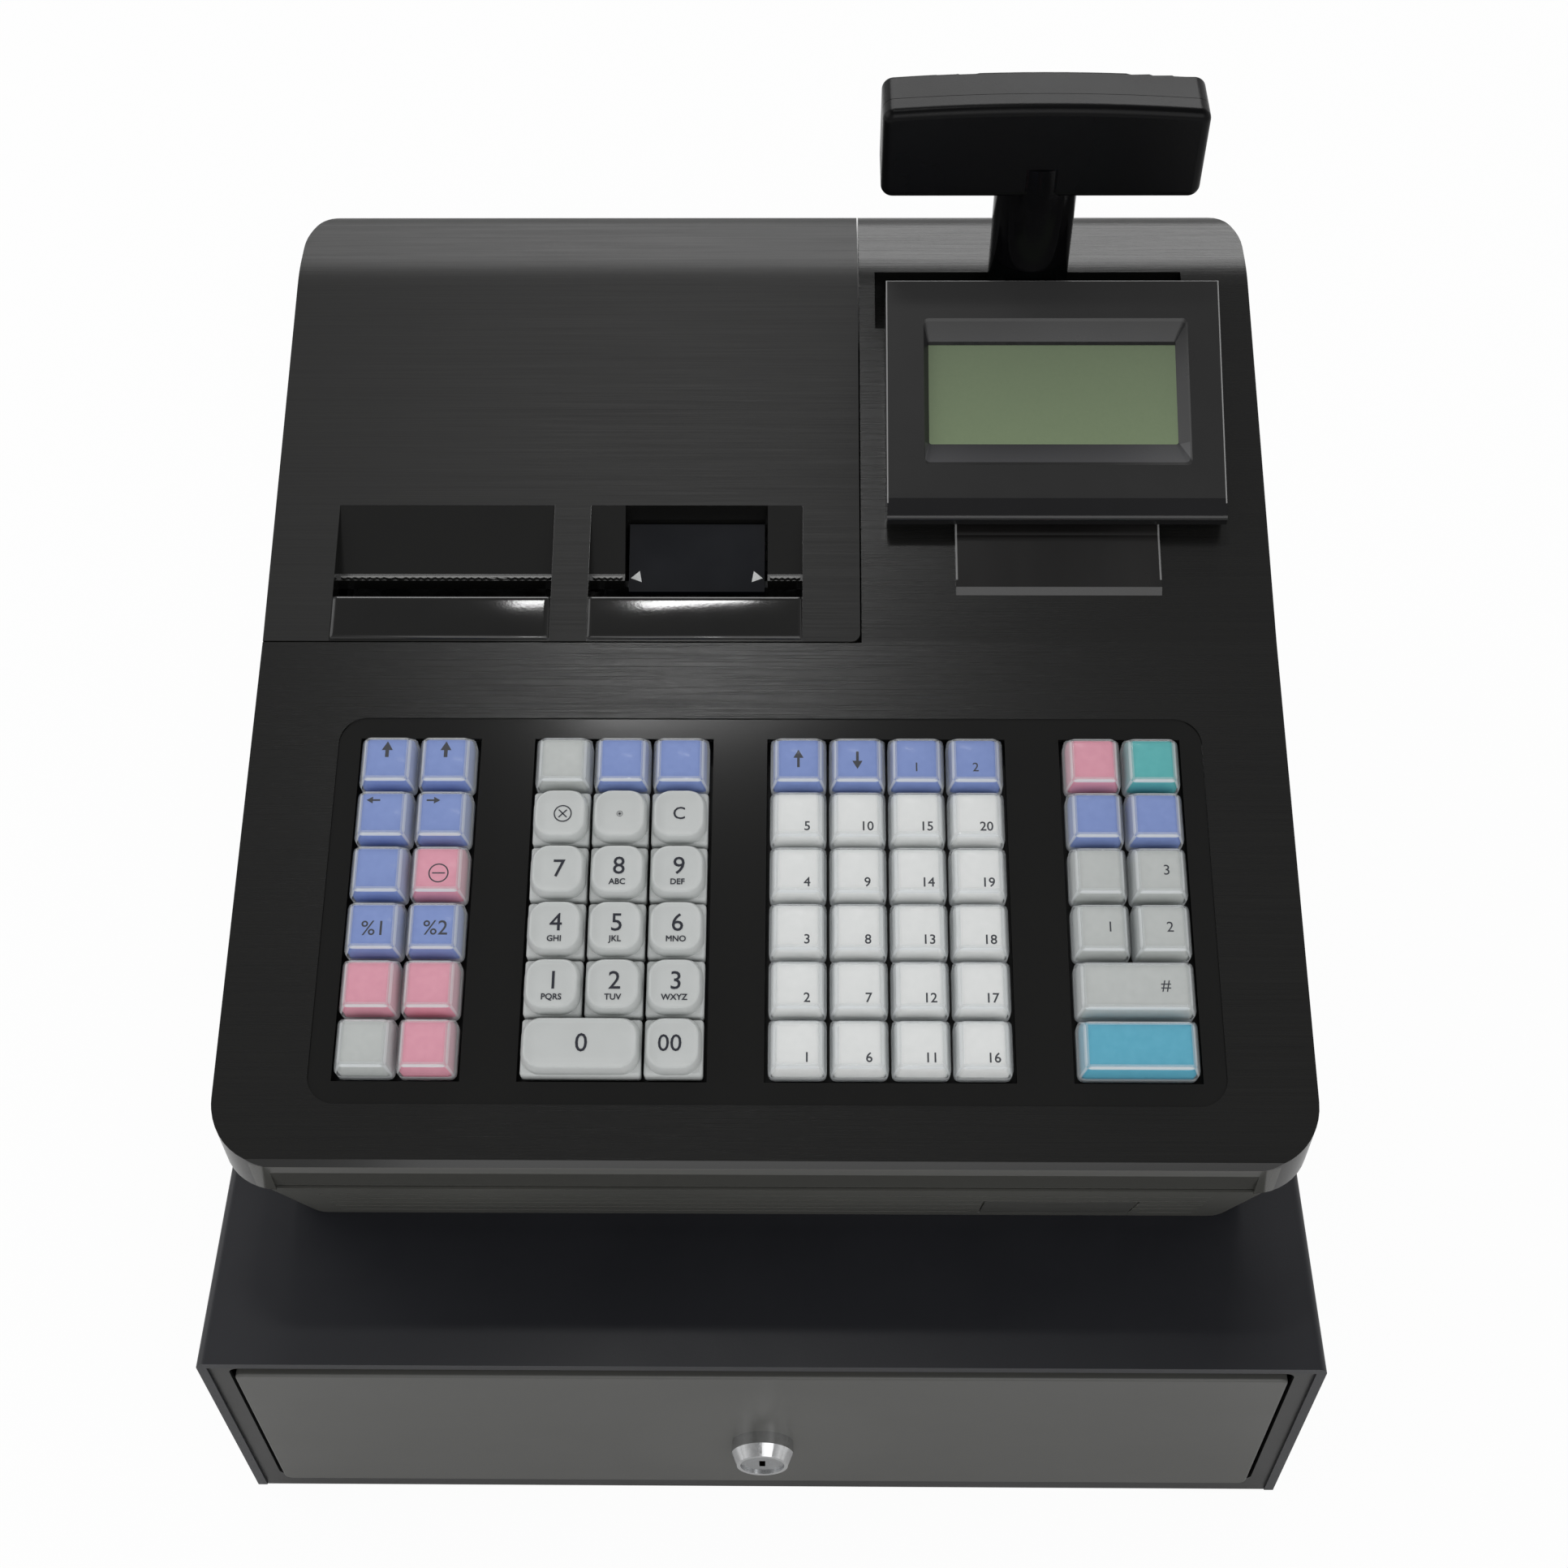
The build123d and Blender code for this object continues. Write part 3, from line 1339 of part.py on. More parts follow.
# Black plate seen through the cover's window, on a bar between the journal station's walls.
guide_low = (platen_y, station_top_z + 2.5)
guide_high = (front_y + slot_rear_setback - guide_side_gap, roof_at(front_y + slot_rear_setback) - 8.0)
guide_lean = atan2(guide_high[1] - guide_low[1], guide_high[0] - guide_low[0])
guide_drop = guide_sheet / cos(guide_lean)
bar_y = (platen_y + 14.0, platen_y + 19.0)
bar_under = [guide_low[1] + (y - guide_low[0]) * tan(guide_lean) - guide_drop for y in bar_y]
with BuildPart() as paper_guide:
    with BuildSketch(Plane.YZ.offset(window_span[0] + guide_side_gap)):
        with BuildLine():
            Polyline(
                guide_low,
                guide_high,
                (guide_high[0], guide_high[1] - guide_drop),
                (bar_y[1], bar_under[1]),
                (bar_y[1], station_top_z - 4.0),
                (bar_y[0], station_top_z - 4.0),
                (bar_y[0], bar_under[0]),
                (guide_low[0], guide_low[1] - guide_drop),
                close=True,
            )
        make_face()
    extrude(amount=window_span[1] - window_span[0] - 2 * guide_side_gap)
    block(
        (journal_x - station_width / 2, journal_x + station_width / 2),
        bar_y,
        (station_top_z - 8.0, station_top_z - 2.0),
    )
save(paper_guide, "paper_guide")

# ================================================================ operator display
pivot_y = front_y + display_pivot_setback
display_front_y = front_y + display_front_setback
bracket_x = (display_x + 0.7 - bracket_width / 2, display_x + 0.7 + bracket_width / 2)
display_left = display_x - display_width / 2
display_rear_y = display_front_y + display_length * cos(radians(display_slope))
display_rear_z = display_front_z + display_length * sin(radians(display_slope))
pin_bore = display_pin_radius + running_gap
foot_y = front_y + bracket_front_setback

# Low bracket that ramps up from the panel to the hinge under the display's lower edge.
ramp_y = display_front_y + 1.0
with BuildPart() as display_bracket:
    with BuildSketch(Plane.YZ.offset(bracket_x[0])):
        with BuildLine():
            Polyline(
                (foot_y, roof_at(foot_y)),
                (foot_y + bracket_ramp, roof_at(foot_y) + bracket_ramp),
                (ramp_y, roof_at(ramp_y) + bracket_ramp),
                (pivot_y - bracket_neck, display_pivot_z - bracket_radius),
                (pivot_y - bracket_neck, display_pivot_z),
                (pivot_y + bracket_neck, display_pivot_z),
                (pivot_y + bracket_neck, roof_at(pivot_y + bracket_neck)),
                close=True,
            )
        make_face()
        with Locations((pivot_y, display_pivot_z)):
            Circle(bracket_radius)
    extrude(amount=bracket_x[1] - bracket_x[0])
    rod_x((bracket_x[0] - 1, bracket_x[1] + 1), pivot_y, display_pivot_z, pin_bore, Mode.SUBTRACT)
save(display_bracket, "display_bracket")


def display_wedge(low, high):
    """The display's side profile between two depths below its face, full width."""
    with BuildPart() as wedge:
        with BuildSketch(Plane.YZ.offset(display_left)):
            with BuildLine():
                FilletPolyline(
                    (display_front_y + display_toe, display_front_z + display_toe * tan(radians(display_slope))),
                    (display_rear_y, display_rear_z),
                    (display_rear_y + 1.0, display_rear_z - display_rear_drop),
                    (pivot_y + 6.0, roof_at(pivot_y + 6.0) + display_bottom_gap),
                    (pivot_y - 1.0, display_pivot_z - 5.0),
                    (display_front_y + 0.8, display_pivot_z - 0.8),
                    radius=(2.0, display_rim_round, 3.0, 0, 0, 0),
                    close=True,
                )
            make_face()
        extrude(amount=display_width)
        with BuildSketch(display_plane.offset(low)):
            with Locations((display_x, display_length / 2)):
                Rectangle(display_width + 2.0, display_length + 60.0)
        extrude(amount=high - low, mode=Mode.INTERSECT)
        with BuildSketch(display_plane.offset(-60.0)):
            with Locations((display_x, display_length / 2)):
                RectangleRounded(display_width, display_length + 18.0, display_front_round)
        extrude(amount=80.0, mode=Mode.INTERSECT)
    return wedge.part


# Lower shell of the display, hollow, with the two hinge pins that run in the bracket.
knuckle_room = bracket_radius + sliding_gap
knuckle_x = (bracket_x[0] - sliding_gap, bracket_x[1] + sliding_gap)
cheek_x = (knuckle_x[0] - display_cheek - sliding_gap, knuckle_x[1] + display_cheek + sliding_gap)
neck_room_z = (display_pivot_z - 12.0, display_pivot_z - 0.8)
with BuildPart() as display_shell:
    add(display_wedge(-60.0, -bezel_thickness))
    hollow_v = (16.0, display_length - 5.0)
    with BuildSketch(display_plane.offset(-bezel_thickness + 1.0)):
        with Locations((display_x, sum(hollow_v) / 2)):
            Rectangle(display_width - 2 * display_wall - 4.0, hollow_v[1] - hollow_v[0])
    extrude(amount=-5.0, mode=Mode.SUBTRACT)
    rod_x(knuckle_x, pivot_y, display_pivot_z, knuckle_room, Mode.SUBTRACT)
    block(knuckle_x, (foot_y, pivot_y + knuckle_room), neck_room_z, mode=Mode.SUBTRACT)
    for side, edge in ((-1, bracket_x[0]), (1, bracket_x[1])):
        cheek = sorted((edge + side * sliding_gap, edge + side * (sliding_gap + display_cheek)))
        rod_x(cheek, pivot_y, display_pivot_z, bracket_radius)
        pin = sorted((edge - side * display_pin_length, edge + side * display_cheek))
        rod_x(pin, pivot_y, display_pivot_z, display_pin_radius)
save(display_shell, "display_shell")

# Upper frame of the display with the sloping mouth round the screen.
with BuildPart() as display_bezel:
    add(display_wedge(-bezel_thickness, 2.0))
    mouth_middle = (
        (bezel_mouth_left + bezel_mouth_right) / 2,
        (bezel_mouth_low + bezel_mouth_high) / 2,
    )
    mouth_size = (bezel_mouth_right - bezel_mouth_left, bezel_mouth_high - bezel_mouth_low)
    screen_middle = ((screen_left + screen_right) / 2, (screen_low + screen_high) / 2)
    screen_size = (screen_right - screen_left, screen_high - screen_low)
    with BuildSketch(display_plane):
        with Locations(mouth_middle):
            RectangleRounded(*mouth_size, bezel_mouth_corner)
    with BuildSketch(display_plane.offset(-screen_setback)):
        with Locations(screen_middle):
            RectangleRounded(*screen_size, screen_corner)
    loft(ruled=True, mode=Mode.SUBTRACT)
    with BuildSketch(display_plane):
        with Locations(mouth_middle):
            RectangleRounded(*mouth_size, bezel_mouth_corner)
    extrude(amount=1.0, mode=Mode.SUBTRACT)
    with BuildSketch(display_plane.offset(-screen_setback)):
        with Locations(screen_middle):
            Rectangle(screen_size[0] + 4.0, screen_size[1] + 4.0)
    extrude(amount=-bezel_thickness, mode=Mode.SUBTRACT)
    rod_x(cheek_x, pivot_y, display_pivot_z, knuckle_room, Mode.SUBTRACT)
    block(cheek_x, (foot_y, pivot_y + knuckle_room), neck_room_z, mode=Mode.SUBTRACT)
save(display_bezel, "display_bezel")

# Liquid crystal screen held behind the bezel.
with BuildPart() as display_screen:
    with BuildSketch(display_plane.offset(-screen_setback - screen_thickness)):
        with Locations(screen_middle):
            Rectangle(screen_size[0] + 3.6, screen_size[1] + 3.6)
    extrude(amount=screen_thickness)
save(display_screen, "display_screen")

# ================================================================ pop-up customer display
# Socket under the recess floor that the stem slides in.
with BuildPart() as stem_socket:
    socket_top = recess_floor_z - recess_wall
    rod_z(stem_x, stem_y, (socket_bottom_z, socket_top), stem_radius + running_gap + socket_wall)
    rod_z(stem_x, stem_y, (socket_top - socket_flange_sheet, socket_top), socket_flange_radius)
    rod_z(stem_x, stem_y, (socket_bottom_z - 1, socket_top + 1), stem_radius + running_gap, Mode.SUBTRACT)
save(stem_socket, "stem_socket")

# Tubular stem with the turned-down spigot that the head swivels on.
with BuildPart() as display_stem:
    rod_z(stem_x, stem_y, (stem_bottom_z, stem_joint_z), stem_radius)
    rod_z(stem_x, stem_y, (stem_joint_z, stem_joint_z + spigot_length), spigot_radius)
    rod_z(stem_x, stem_y, (stem_bottom_z - 1, stem_joint_z + spigot_length + 1), stem_bore, Mode.SUBTRACT)
save(display_stem, "display_stem")

head_front_y = front_y + head_front_setback
head_rear_y = head_front_y + head_depth
seam_y = front_y + head_seam_setback


def head_form(inset, y_low, y_high):
    """The head's rounded box shrunk by inset, between two depths."""
    with BuildPart() as form:
        with BuildSketch(Plane.XZ.offset(-(head_rear_y - inset))) as section:
            left = stem_x - head_width / 2 + inset
            right = stem_x + head_width / 2 - inset
            low = head_bottom_z + inset
            high = head_top_z - inset
            with BuildLine():
                ThreePointArc((left, high - head_crown), (stem_x, high), (right, high - head_crown))
                Polyline((right, high - head_crown), (right, low), (left, low), (left, high - head_crown))
            make_face()
            fillet(section.vertices(), head_round - inset)
        extrude(amount=head_depth - 2 * inset)
        if inset == 0:
            fillet(form.faces().sort_by(Axis.Y)[0].edges(), head_round - 1.0)
            fillet(form.faces().sort_by(Axis.Y)[-1].edges(), head_round / 2)
        block((-far, far), (y_low, y_high), (0, far), mode=Mode.INTERSECT)
    return form.part


# Operator-side shell of the head, moulded with the neck.
with BuildPart() as neck:
    rod_z(stem_x, stem_y, (stem_joint_z + stem_joint_gap, head_bottom_z + neck_rise), stem_radius)
    block((-far, far), (seam_y, far), (head_bottom_z - 1.0, far), mode=Mode.SUBTRACT)

with BuildPart() as head_hollow:
    add(head_form(head_wall, -far, far))
    rod_z(stem_x, stem_y, (head_bottom_z, head_bottom_z + neck_rise), stem_radius, Mode.SUBTRACT)

with BuildPart() as head_neck_shell:
    add(head_form(0, -far, seam_y))
    add(neck.part)
    add(head_hollow.part, mode=Mode.SUBTRACT)
    rod_z(
        stem_x,
        stem_y,
        (stem_joint_z, stem_joint_z + spigot_length + 1.0),
        spigot_radius + running_gap,
        Mode.SUBTRACT,
    )
    rod_z(stem_x, stem_y, (stem_joint_z, head_bottom_z + neck_rise + 1), stem_bore, Mode.SUBTRACT)
save(head_neck_shell, "head_neck_shell")

# Customer-side shell with the window opening.
window_half = head_window_width / 2
window_z = (head_bottom_z + head_top_z) / 2
window_low = window_z - head_window_height / 2
window_high = window_z + head_window_height / 2
with BuildPart() as head_window_shell:
    add(head_form(0, seam_y + head_seam, far))
    add(head_form(head_wall, -far, far), mode=Mode.SUBTRACT)
    neck_room = (head_bottom_z - neck_rise / 2, head_bottom_z + neck_rise / 2)
    rod_z(stem_x, stem_y, neck_room, stem_radius + sliding_gap, Mode.SUBTRACT)
    block(
        (stem_x - window_half, stem_x + window_half),
        (seam_y + 2.0, far),
        (window_low, window_high),
        mode=Mode.SUBTRACT,
    )
save(head_window_shell, "head_window_shell")

# Tinted window let into the customer side.
with BuildPart() as head_window:
    block(
        (stem_x - window_half, stem_x + window_half),
        (head_rear_y - head_window_sheet - 0.4, head_rear_y - 0.4),
        (window_low, window_high),
    )
save(head_window, "head_window")

# ================================================================ electronics
# Main board on four posts, with its larger components.
board_y = (front_y + board_span_y[0], front_y + board_span_y[1])
with BuildPart() as main_board:
    block(board_span_x, board_y, (board_z, board_z + board_sheet))
    for x in (board_span_x[0] + board_post_inset, board_span_x[1] - board_post_inset):
        for y in (board_y[0] + board_post_inset, board_y[1] - board_post_inset):
            half = board_post_side / 2
            block((x - half, x + half), (y - half, y + half), (chassis_top, board_z))
    board_top = board_z + board_sheet
    for spot, size in (
        (processor_spot, (processor_side, processor_side)),
        (memory_spot, memory_size),
    ):
        chip_x = board_span_x[0] + spot[0]
        chip_y = board_y[0] + spot[1]
        chip_z = (board_top, board_top + chip_height)
        block((chip_x, chip_x + size[0]), (chip_y, chip_y + size[1]), chip_z)
    connector_x = board_span_x[0] + connector_inset
    block(
        (connector_x, connector_x + connector_size[0]),
        (board_y[0], board_y[0] + connector_size[1]),
        (board_top, board_top + connector_height),
    )
    for inset in capacitor_insets:
        capacitor_z = (board_top, board_top + capacitor_height)
        capacitor_y = board_y[1] - capacitor_rear_inset
        rod_z(board_span_x[0] + inset, capacitor_y, capacitor_z, capacitor_radius)
save(main_board, "main_board")

# Mains transformer: laminated core with the winding through it.
trafo_x = (transformer_x - transformer_size[0] / 2, transformer_x + transformer_size[0] / 2)
trafo_middle = front_y + transformer_setback
trafo_y = (trafo_middle - transformer_size[1] / 2, trafo_middle + transformer_size[1] / 2)
with BuildPart() as transformer:
    core_y = (trafo_y[0] + core_overhang, trafo_y[1] - core_overhang)
    block(trafo_x, core_y, (chassis_top, chassis_top + transformer_size[2]))
    winding_z = (chassis_top + core_rim, chassis_top + transformer_size[2] - core_rim)
    block((trafo_x[0] + core_overhang, trafo_x[1] - core_overhang), trafo_y, winding_z)
save(transformer, "transformer")
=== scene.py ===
"""Electronic cash register on its steel cash drawer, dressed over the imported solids."""

import math

import bpy
from mathutils import Matrix, Vector


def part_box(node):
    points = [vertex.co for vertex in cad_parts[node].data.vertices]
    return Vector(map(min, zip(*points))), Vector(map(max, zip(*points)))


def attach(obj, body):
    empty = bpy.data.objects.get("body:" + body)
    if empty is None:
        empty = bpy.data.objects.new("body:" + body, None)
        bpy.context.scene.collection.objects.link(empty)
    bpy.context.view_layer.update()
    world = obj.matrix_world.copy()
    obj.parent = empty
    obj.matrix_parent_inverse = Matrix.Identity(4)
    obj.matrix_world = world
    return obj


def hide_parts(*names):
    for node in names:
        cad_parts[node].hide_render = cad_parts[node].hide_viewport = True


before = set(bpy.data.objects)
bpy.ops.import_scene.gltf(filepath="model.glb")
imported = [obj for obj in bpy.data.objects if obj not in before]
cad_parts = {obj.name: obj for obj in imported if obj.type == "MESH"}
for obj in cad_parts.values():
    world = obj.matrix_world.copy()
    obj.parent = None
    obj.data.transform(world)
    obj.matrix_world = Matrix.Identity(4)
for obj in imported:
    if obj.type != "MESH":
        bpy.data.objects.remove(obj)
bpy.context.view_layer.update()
bpy.ops.object.select_all(action="DESELECT")


# --------------------------------------
# Drawer case: folded steel sheet, powder coated nearly black on the outside.
# The base tray, with the frame round the drawer, is closed by a wrap of sheet
# with a hemmed front edge, and stands on four moulded rubber feet.


class Reading:
    """A value that changes over a finish and is written like a number."""

    def __init__(self, tree, socket):
        self.tree = tree
        self.socket = socket

    def worked(self, operation, first, second):
        step = self.tree.nodes.new("ShaderNodeMath")
        step.operation = operation
        for slot, value in zip(step.inputs, (first, second)):
            fill(self.tree, slot, value)
        return Reading(self.tree, step.outputs[0])

    def size(self):
        return self.worked("ABSOLUTE", self, 0.0)


def fill(tree, slot, value):
    """Links a reading to a node's slot, or gives the slot a fixed value."""
    if isinstance(value, Reading):
        tree.links.new(value.socket, slot)
    else:
        slot.default_value = value


def combining(operation, turned=False):
    """A method of Reading that works its value and another one together."""

    def method(self, other):
        pair = (other, self) if turned else (self, other)
        return self.worked(operation, *pair)

    return method


for operator, operation in {
    "__add__": "ADD", "__sub__": "SUBTRACT", "__mul__": "MULTIPLY", "__truediv__": "DIVIDE",
    "__pow__": "POWER", "__gt__": "GREATER_THAN", "__lt__": "LESS_THAN",
    "remainder": "FLOORED_MODULO", "larger": "MAXIMUM", "smaller": "MINIMUM",
}.items():
    setattr(Reading, operator, combining(operation))
turned_round = {"__radd__": "ADD", "__rsub__": "SUBTRACT", "__rmul__": "MULTIPLY"}
for operator, operation in turned_round.items():
    setattr(Reading, operator, combining(operation, turned=True))


class Network:
    """The nodes of a finish or of the surroundings, made and linked in one call each."""

    def __init__(self, tree):
        self.tree = tree

    def node(self, kind, settings=None, output=0, **values):
        made = self.tree.nodes.new("ShaderNode" + kind)
        for setting, value in (settings or {}).items():
            if setting == "stops":
                while len(made.color_ramp.elements) < len(value):
                    made.color_ramp.elements.new(0.5)
                for stop, (place, colour) in zip(made.color_ramp.elements, value):
                    stop.position = place
                    stop.color = colour
            else:
                setattr(made, setting, value)
        for socket, value in values.items():
            number = socket.removeprefix("at_")
            slot = made.inputs[int(number) if number.isdigit() else socket.replace("_", " ")]
            fill(self.tree, slot, value)
        return Reading(self.tree, made.outputs[output])

    def show(self, blend, final):
        self.tree.links.new(blend.socket, self.tree.nodes[final].inputs["Surface"])


class Finish(Network):
    """One finish: a shader with fixed values, and the nodes that vary it."""

    def __init__(self, name, shine=0.5, **fixed):
        self.material = bpy.data.materials.new(name)
        self.material.use_nodes = True
        super().__init__(self.material.node_tree)
        self.shader = self.tree.nodes["Principled BSDF"]
        self.shader.inputs["Specular IOR Level"].default_value = shine
        for socket, value in fixed.items():
            self.shader.inputs[socket.replace("_", " ")].default_value = value

    def place(self):
        return self.node("TexCoord", output=3)

    def axes(self):
        place = self.place()
        return [self.node("SeparateXYZ", output=axis, Vector=place) for axis in range(3)]

    def grain(self, scale, stretch=(1, 1, 1), detail=3.0, roughness=0.5):
        laid = self.node("Mapping", Vector=self.place(), Scale=stretch)
        return self.node("TexNoise", Vector=laid, Scale=scale, Detail=detail, Roughness=roughness)

    def bands(self, reading):
        """Fine bands of random width that follow one reading."""
        return self.node("TexNoise", {"noise_dimensions": "1D"}, W=reading, Scale=1.0)

    def mixed(self, share, *sides):
        """A blend of two sides, each a reading or a screen colour."""
        first, second = (tint(*side) if isinstance(side, tuple) else side for side in sides)
        return self.node("Mix", {"data_type": "RGBA"}, 2, at_0=share, at_6=first, at_7=second)

    def between(self, reading, low, high, first, second):
        return self.node("MapRange", at_0=reading, at_1=low, at_2=high, at_3=first, at_4=second)

    def feed(self, socket, reading):
        self.tree.links.new(reading.socket, self.shader.inputs[socket])

    def colour(self, share, first, second):
        self.feed("Base Color", self.mixed(share, first, second))

    def roughen(self, *spread):
        self.feed("Roughness", self.between(*spread))

    def emboss(self, height, distance, strength=1.0):
        bumped = self.node("Bump", Strength=strength, Distance=distance, Height=height)
        self.feed("Normal", bumped)


def tint(red, green, blue):
    """A screen colour, 0 to 255, as the shader takes it."""
    parts = [level / 255 for level in (red, green, blue)]
    parts = [p / 12.92 if p < 0.04045 else ((p + 0.055) / 1.055) ** 2.4 for p in parts]
    return (*parts, 1.0)


def grained(
    name, first, second, rough, scale, stretch=(1, 1, 1), detail=3.0, patchy=0.5,
    reach=(0.3, 0.7), relief=None, **fixed,
):
    """A finish whose colour, roughness and relief all follow one grain."""
    made = Finish(name, **fixed)
    pattern = made.grain(scale, stretch, detail, patchy)
    made.colour(pattern, first, second)
    made.roughen(pattern, *reach, *rough)
    if relief:
        made.emboss(pattern, *relief)
    return made


def apart(first, second):
    """Distance that two offsets at right angles make."""
    return (first * first + second * second) ** 0.5


def on_slope(finish, start, slope):
    """X, Y, the way up a sloping plane and the height over it, at each point."""
    x, y, z = finish.axes()
    run = y - start.y
    rise = z - start.z
    up_slope = run * math.cos(slope) + rise * math.sin(slope)
    return x, y, up_slope, rise * math.cos(slope) - run * math.sin(slope)


def dress(finish, *nodes):
    """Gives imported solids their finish."""
    for node in nodes:
        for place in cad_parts[node].material_slots:
            place.material = finish.material


def powder_coat(name, colour, worn, rough):
    """Baked paint on steel: fine orange peel, a little handling haze."""
    coat = Finish(name, shine=0.45)
    haze = coat.grain(9.0, detail=5.0, roughness=0.62)
    speck = coat.grain(900.0, detail=2.0)
    coat.colour(coat.between(haze, 0.42, 0.72, 0.0, 1.0), colour, worn)
    coat.roughen(haze, 0.3, 0.7, rough - 0.05, rough + 0.07)
    coat.emboss(coat.grain(1500.0, detail=2.0) + speck * 0.5, 0.00005, 0.35)
    return coat


case_coat = powder_coat("case_powder_coat", (26, 27, 32), (31, 32, 37), 0.36)
frame_coat = powder_coat("frame_powder_coat", (38, 38, 38), (45, 45, 44), 0.38)
dress(case_coat, "drawer_cover")
dress(frame_coat, "drawer_base")

foot_rubber = grained(
    "foot_rubber", (18, 18, 18), (44, 43, 41), (0.75, 0.95), 160.0, detail=6.0, patchy=0.7,
    reach=(0.2, 0.8), relief=(0.0002, 0.5), shine=0.3,
)
dress(foot_rubber, "rubber_feet")


# --------------------------------------
# Drawer slides: rolled steel rails, zinc plated, with hardened balls that run
# between them in a pressed cage. The drawer body is folded from the same sheet.


def zinc(name, light, dark, rough):
    """Zinc plated sheet: faint spangle, fine rolling lines along Y."""
    plate = Finish(name, Metallic=1.0)
    spangle = plate.node("TexVoronoi", output=1, Vector=plate.place(), Scale=170.0)
    spangle_grey = plate.node("RGBToBW", Color=spangle)
    rolling = plate.grain(1.0, (900.0, 14.0, 900.0), detail=2.0)
    tone = spangle_grey * 0.5 + rolling * 0.5
    plate.colour(tone, dark, light)
    plate.roughen(tone, 0.2, 0.8, rough - 0.08, rough + 0.1)
    plate.emboss(rolling, 0.00003, 0.3)
    return plate


rail_zinc = zinc("rail_zinc", (206, 208, 208), (158, 161, 163), 0.3)
sheet_zinc = zinc("sheet_zinc", (188, 190, 190), (140, 143, 145), 0.38)
dress(rail_zinc, "slide_outer_rails", "slide_inner_rails")
dress(sheet_zinc, "drawer_pan")

ball_steel = grained(
    "ball_steel", (150, 150, 146), (215, 215, 212), (0.12, 0.24), 420.0, Metallic=1.0,
)
dress(ball_steel, "slide_ball_cages")


# --------------------------------------
# Drawer front: pressed steel panel with rolled edges, satin paint a shade
# lighter than the case, polished a little by hands round the lock.

lock_z = 0.05
front_coat = Finish("front_satin_coat")
front_haze = front_coat.grain(7.0, (1.0, 1.0, 2.0), detail=5.0, roughness=0.6)
front_x, _, front_z = front_coat.axes()
over_lock = front_z - lock_z
hand_zone = 1.0 - ((front_x * front_x + over_lock * over_lock) / 0.0022).smaller(1.0)
front_shade = front_coat.mixed(front_haze, (74, 74, 72), (82, 82, 79))
front_coat.colour(hand_zone * 0.35, front_shade, (84, 84, 80))
front_coat.feed("Roughness", front_coat.between(front_haze, 0.3, 0.7, 0.34, 0.44) - hand_zone * 0.05)
front_coat.emboss(front_coat.grain(1300.0, detail=2.0), 0.00005, 0.3)
dress(front_coat, "drawer_front")


# --------------------------------------
# Coin tray: one grey moulding that lifts out, with scooped cups for coins and
# long bays for notes. Sprung steel levers on a rod hold the notes down.


def moulding(name, colour, lighter, rough, grain_size=1400.0, depth=0.00005, shine=0.5):
    """Injection moulded plastic with a fine spark-eroded texture."""
    plastic = Finish(name, shine=shine)
    flow = plastic.grain(14.0, detail=4.0)
    texture = plastic.grain(grain_size, detail=2.0, roughness=0.6)
    plastic.colour(flow, colour, lighter)
    plastic.roughen(flow, 0.3, 0.7, rough - 0.04, rough + 0.06)
    plastic.emboss(texture, depth, 0.5)
    return plastic


tray_plastic = moulding("tray_plastic", (52, 54, 54), (62, 64, 64), 0.5)
dress(tray_plastic, "coin_tray")

clip_steel = grained(
    "clip_spring_steel", (165, 166, 165), (214, 214, 211), (0.2, 0.34), 1.0, (1200.0, 60.0, 60.0),
    detail=2.0, Metallic=1.0,
)
dress(clip_steel, "bill_clips")


def in_object_mode():
    if bpy.context.mode != "OBJECT":
        bpy.ops.object.mode_set(mode="OBJECT")


def clear_selection():
    in_object_mode()
    bpy.ops.object.select_all(action="DESELECT")


def fix_place():
    """Works the selected piece's place, turn and size into its mesh."""
    bpy.ops.object.transform_apply(location=True, rotation=True, scale=True)


def shade_by(angle):
    """Shades the selected piece smooth, but for edges sharper than the angle."""
    bpy.ops.object.shade_smooth_by_angle(angle=math.radians(angle))


def alone(piece):
    """Leaves only this piece selected and active."""
    clear_selection()
    piece.select_set(True)
    bpy.context.view_layer.objects.active = piece


def pick(piece, test, kind="FACE"):
    """Opens the piece for editing with the faces or edges that pass the test picked."""
    alone(piece)
    bpy.ops.object.mode_set(mode="EDIT")
    bpy.ops.mesh.select_mode(type=kind)
    bpy.ops.mesh.select_all(action="DESELECT")
    in_object_mode()
    shape = piece.data
    if kind == "FACE":
        for face in shape.polygons:
            face.select = test(face.center, face.normal)
    else:
        for edge in shape.edges:
            first, second = (shape.vertices[end].co for end in edge.vertices)
            edge.select = test(first, second)
    bpy.ops.object.mode_set(mode="EDIT")


def slab(name, low, high):
    """A box between two corners, in metres, with its place in its mesh."""
    clear_selection()
    middle = [(a + b) / 2 for a, b in zip(low, high)]
    bpy.ops.mesh.primitive_cube_add(size=1, location=middle)
    piece = bpy.context.object
    piece.name = name
    piece.scale = [b - a for a, b in zip(low, high)]
    fix_place()
    return piece


def upright(first, second):
    return abs((first - second).x) + abs((first - second).y) < 1e-6


def soften(piece, width, segments=2, angle=30):
    """Rounds the sharp edges of a finished shape and shades it by angle."""
    alone(piece)
    rounding = piece.modifiers.new("rounding", "BEVEL")
    rounding.width = width
    rounding.segments = segments
    rounding.limit_method = "ANGLE"
    rounding.angle_limit = math.radians(angle)
    bpy.ops.object.modifier_apply(modifier=rounding.name)
    shade_by(40)


def settle(piece, body, finish):
    """Fixes a finished piece's place in its mesh, paints it and puts it on its body."""
    alone(piece)
    fix_place()
    piece.data.materials.clear()
    piece.data.materials.append(finish.material)
    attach(piece, body)


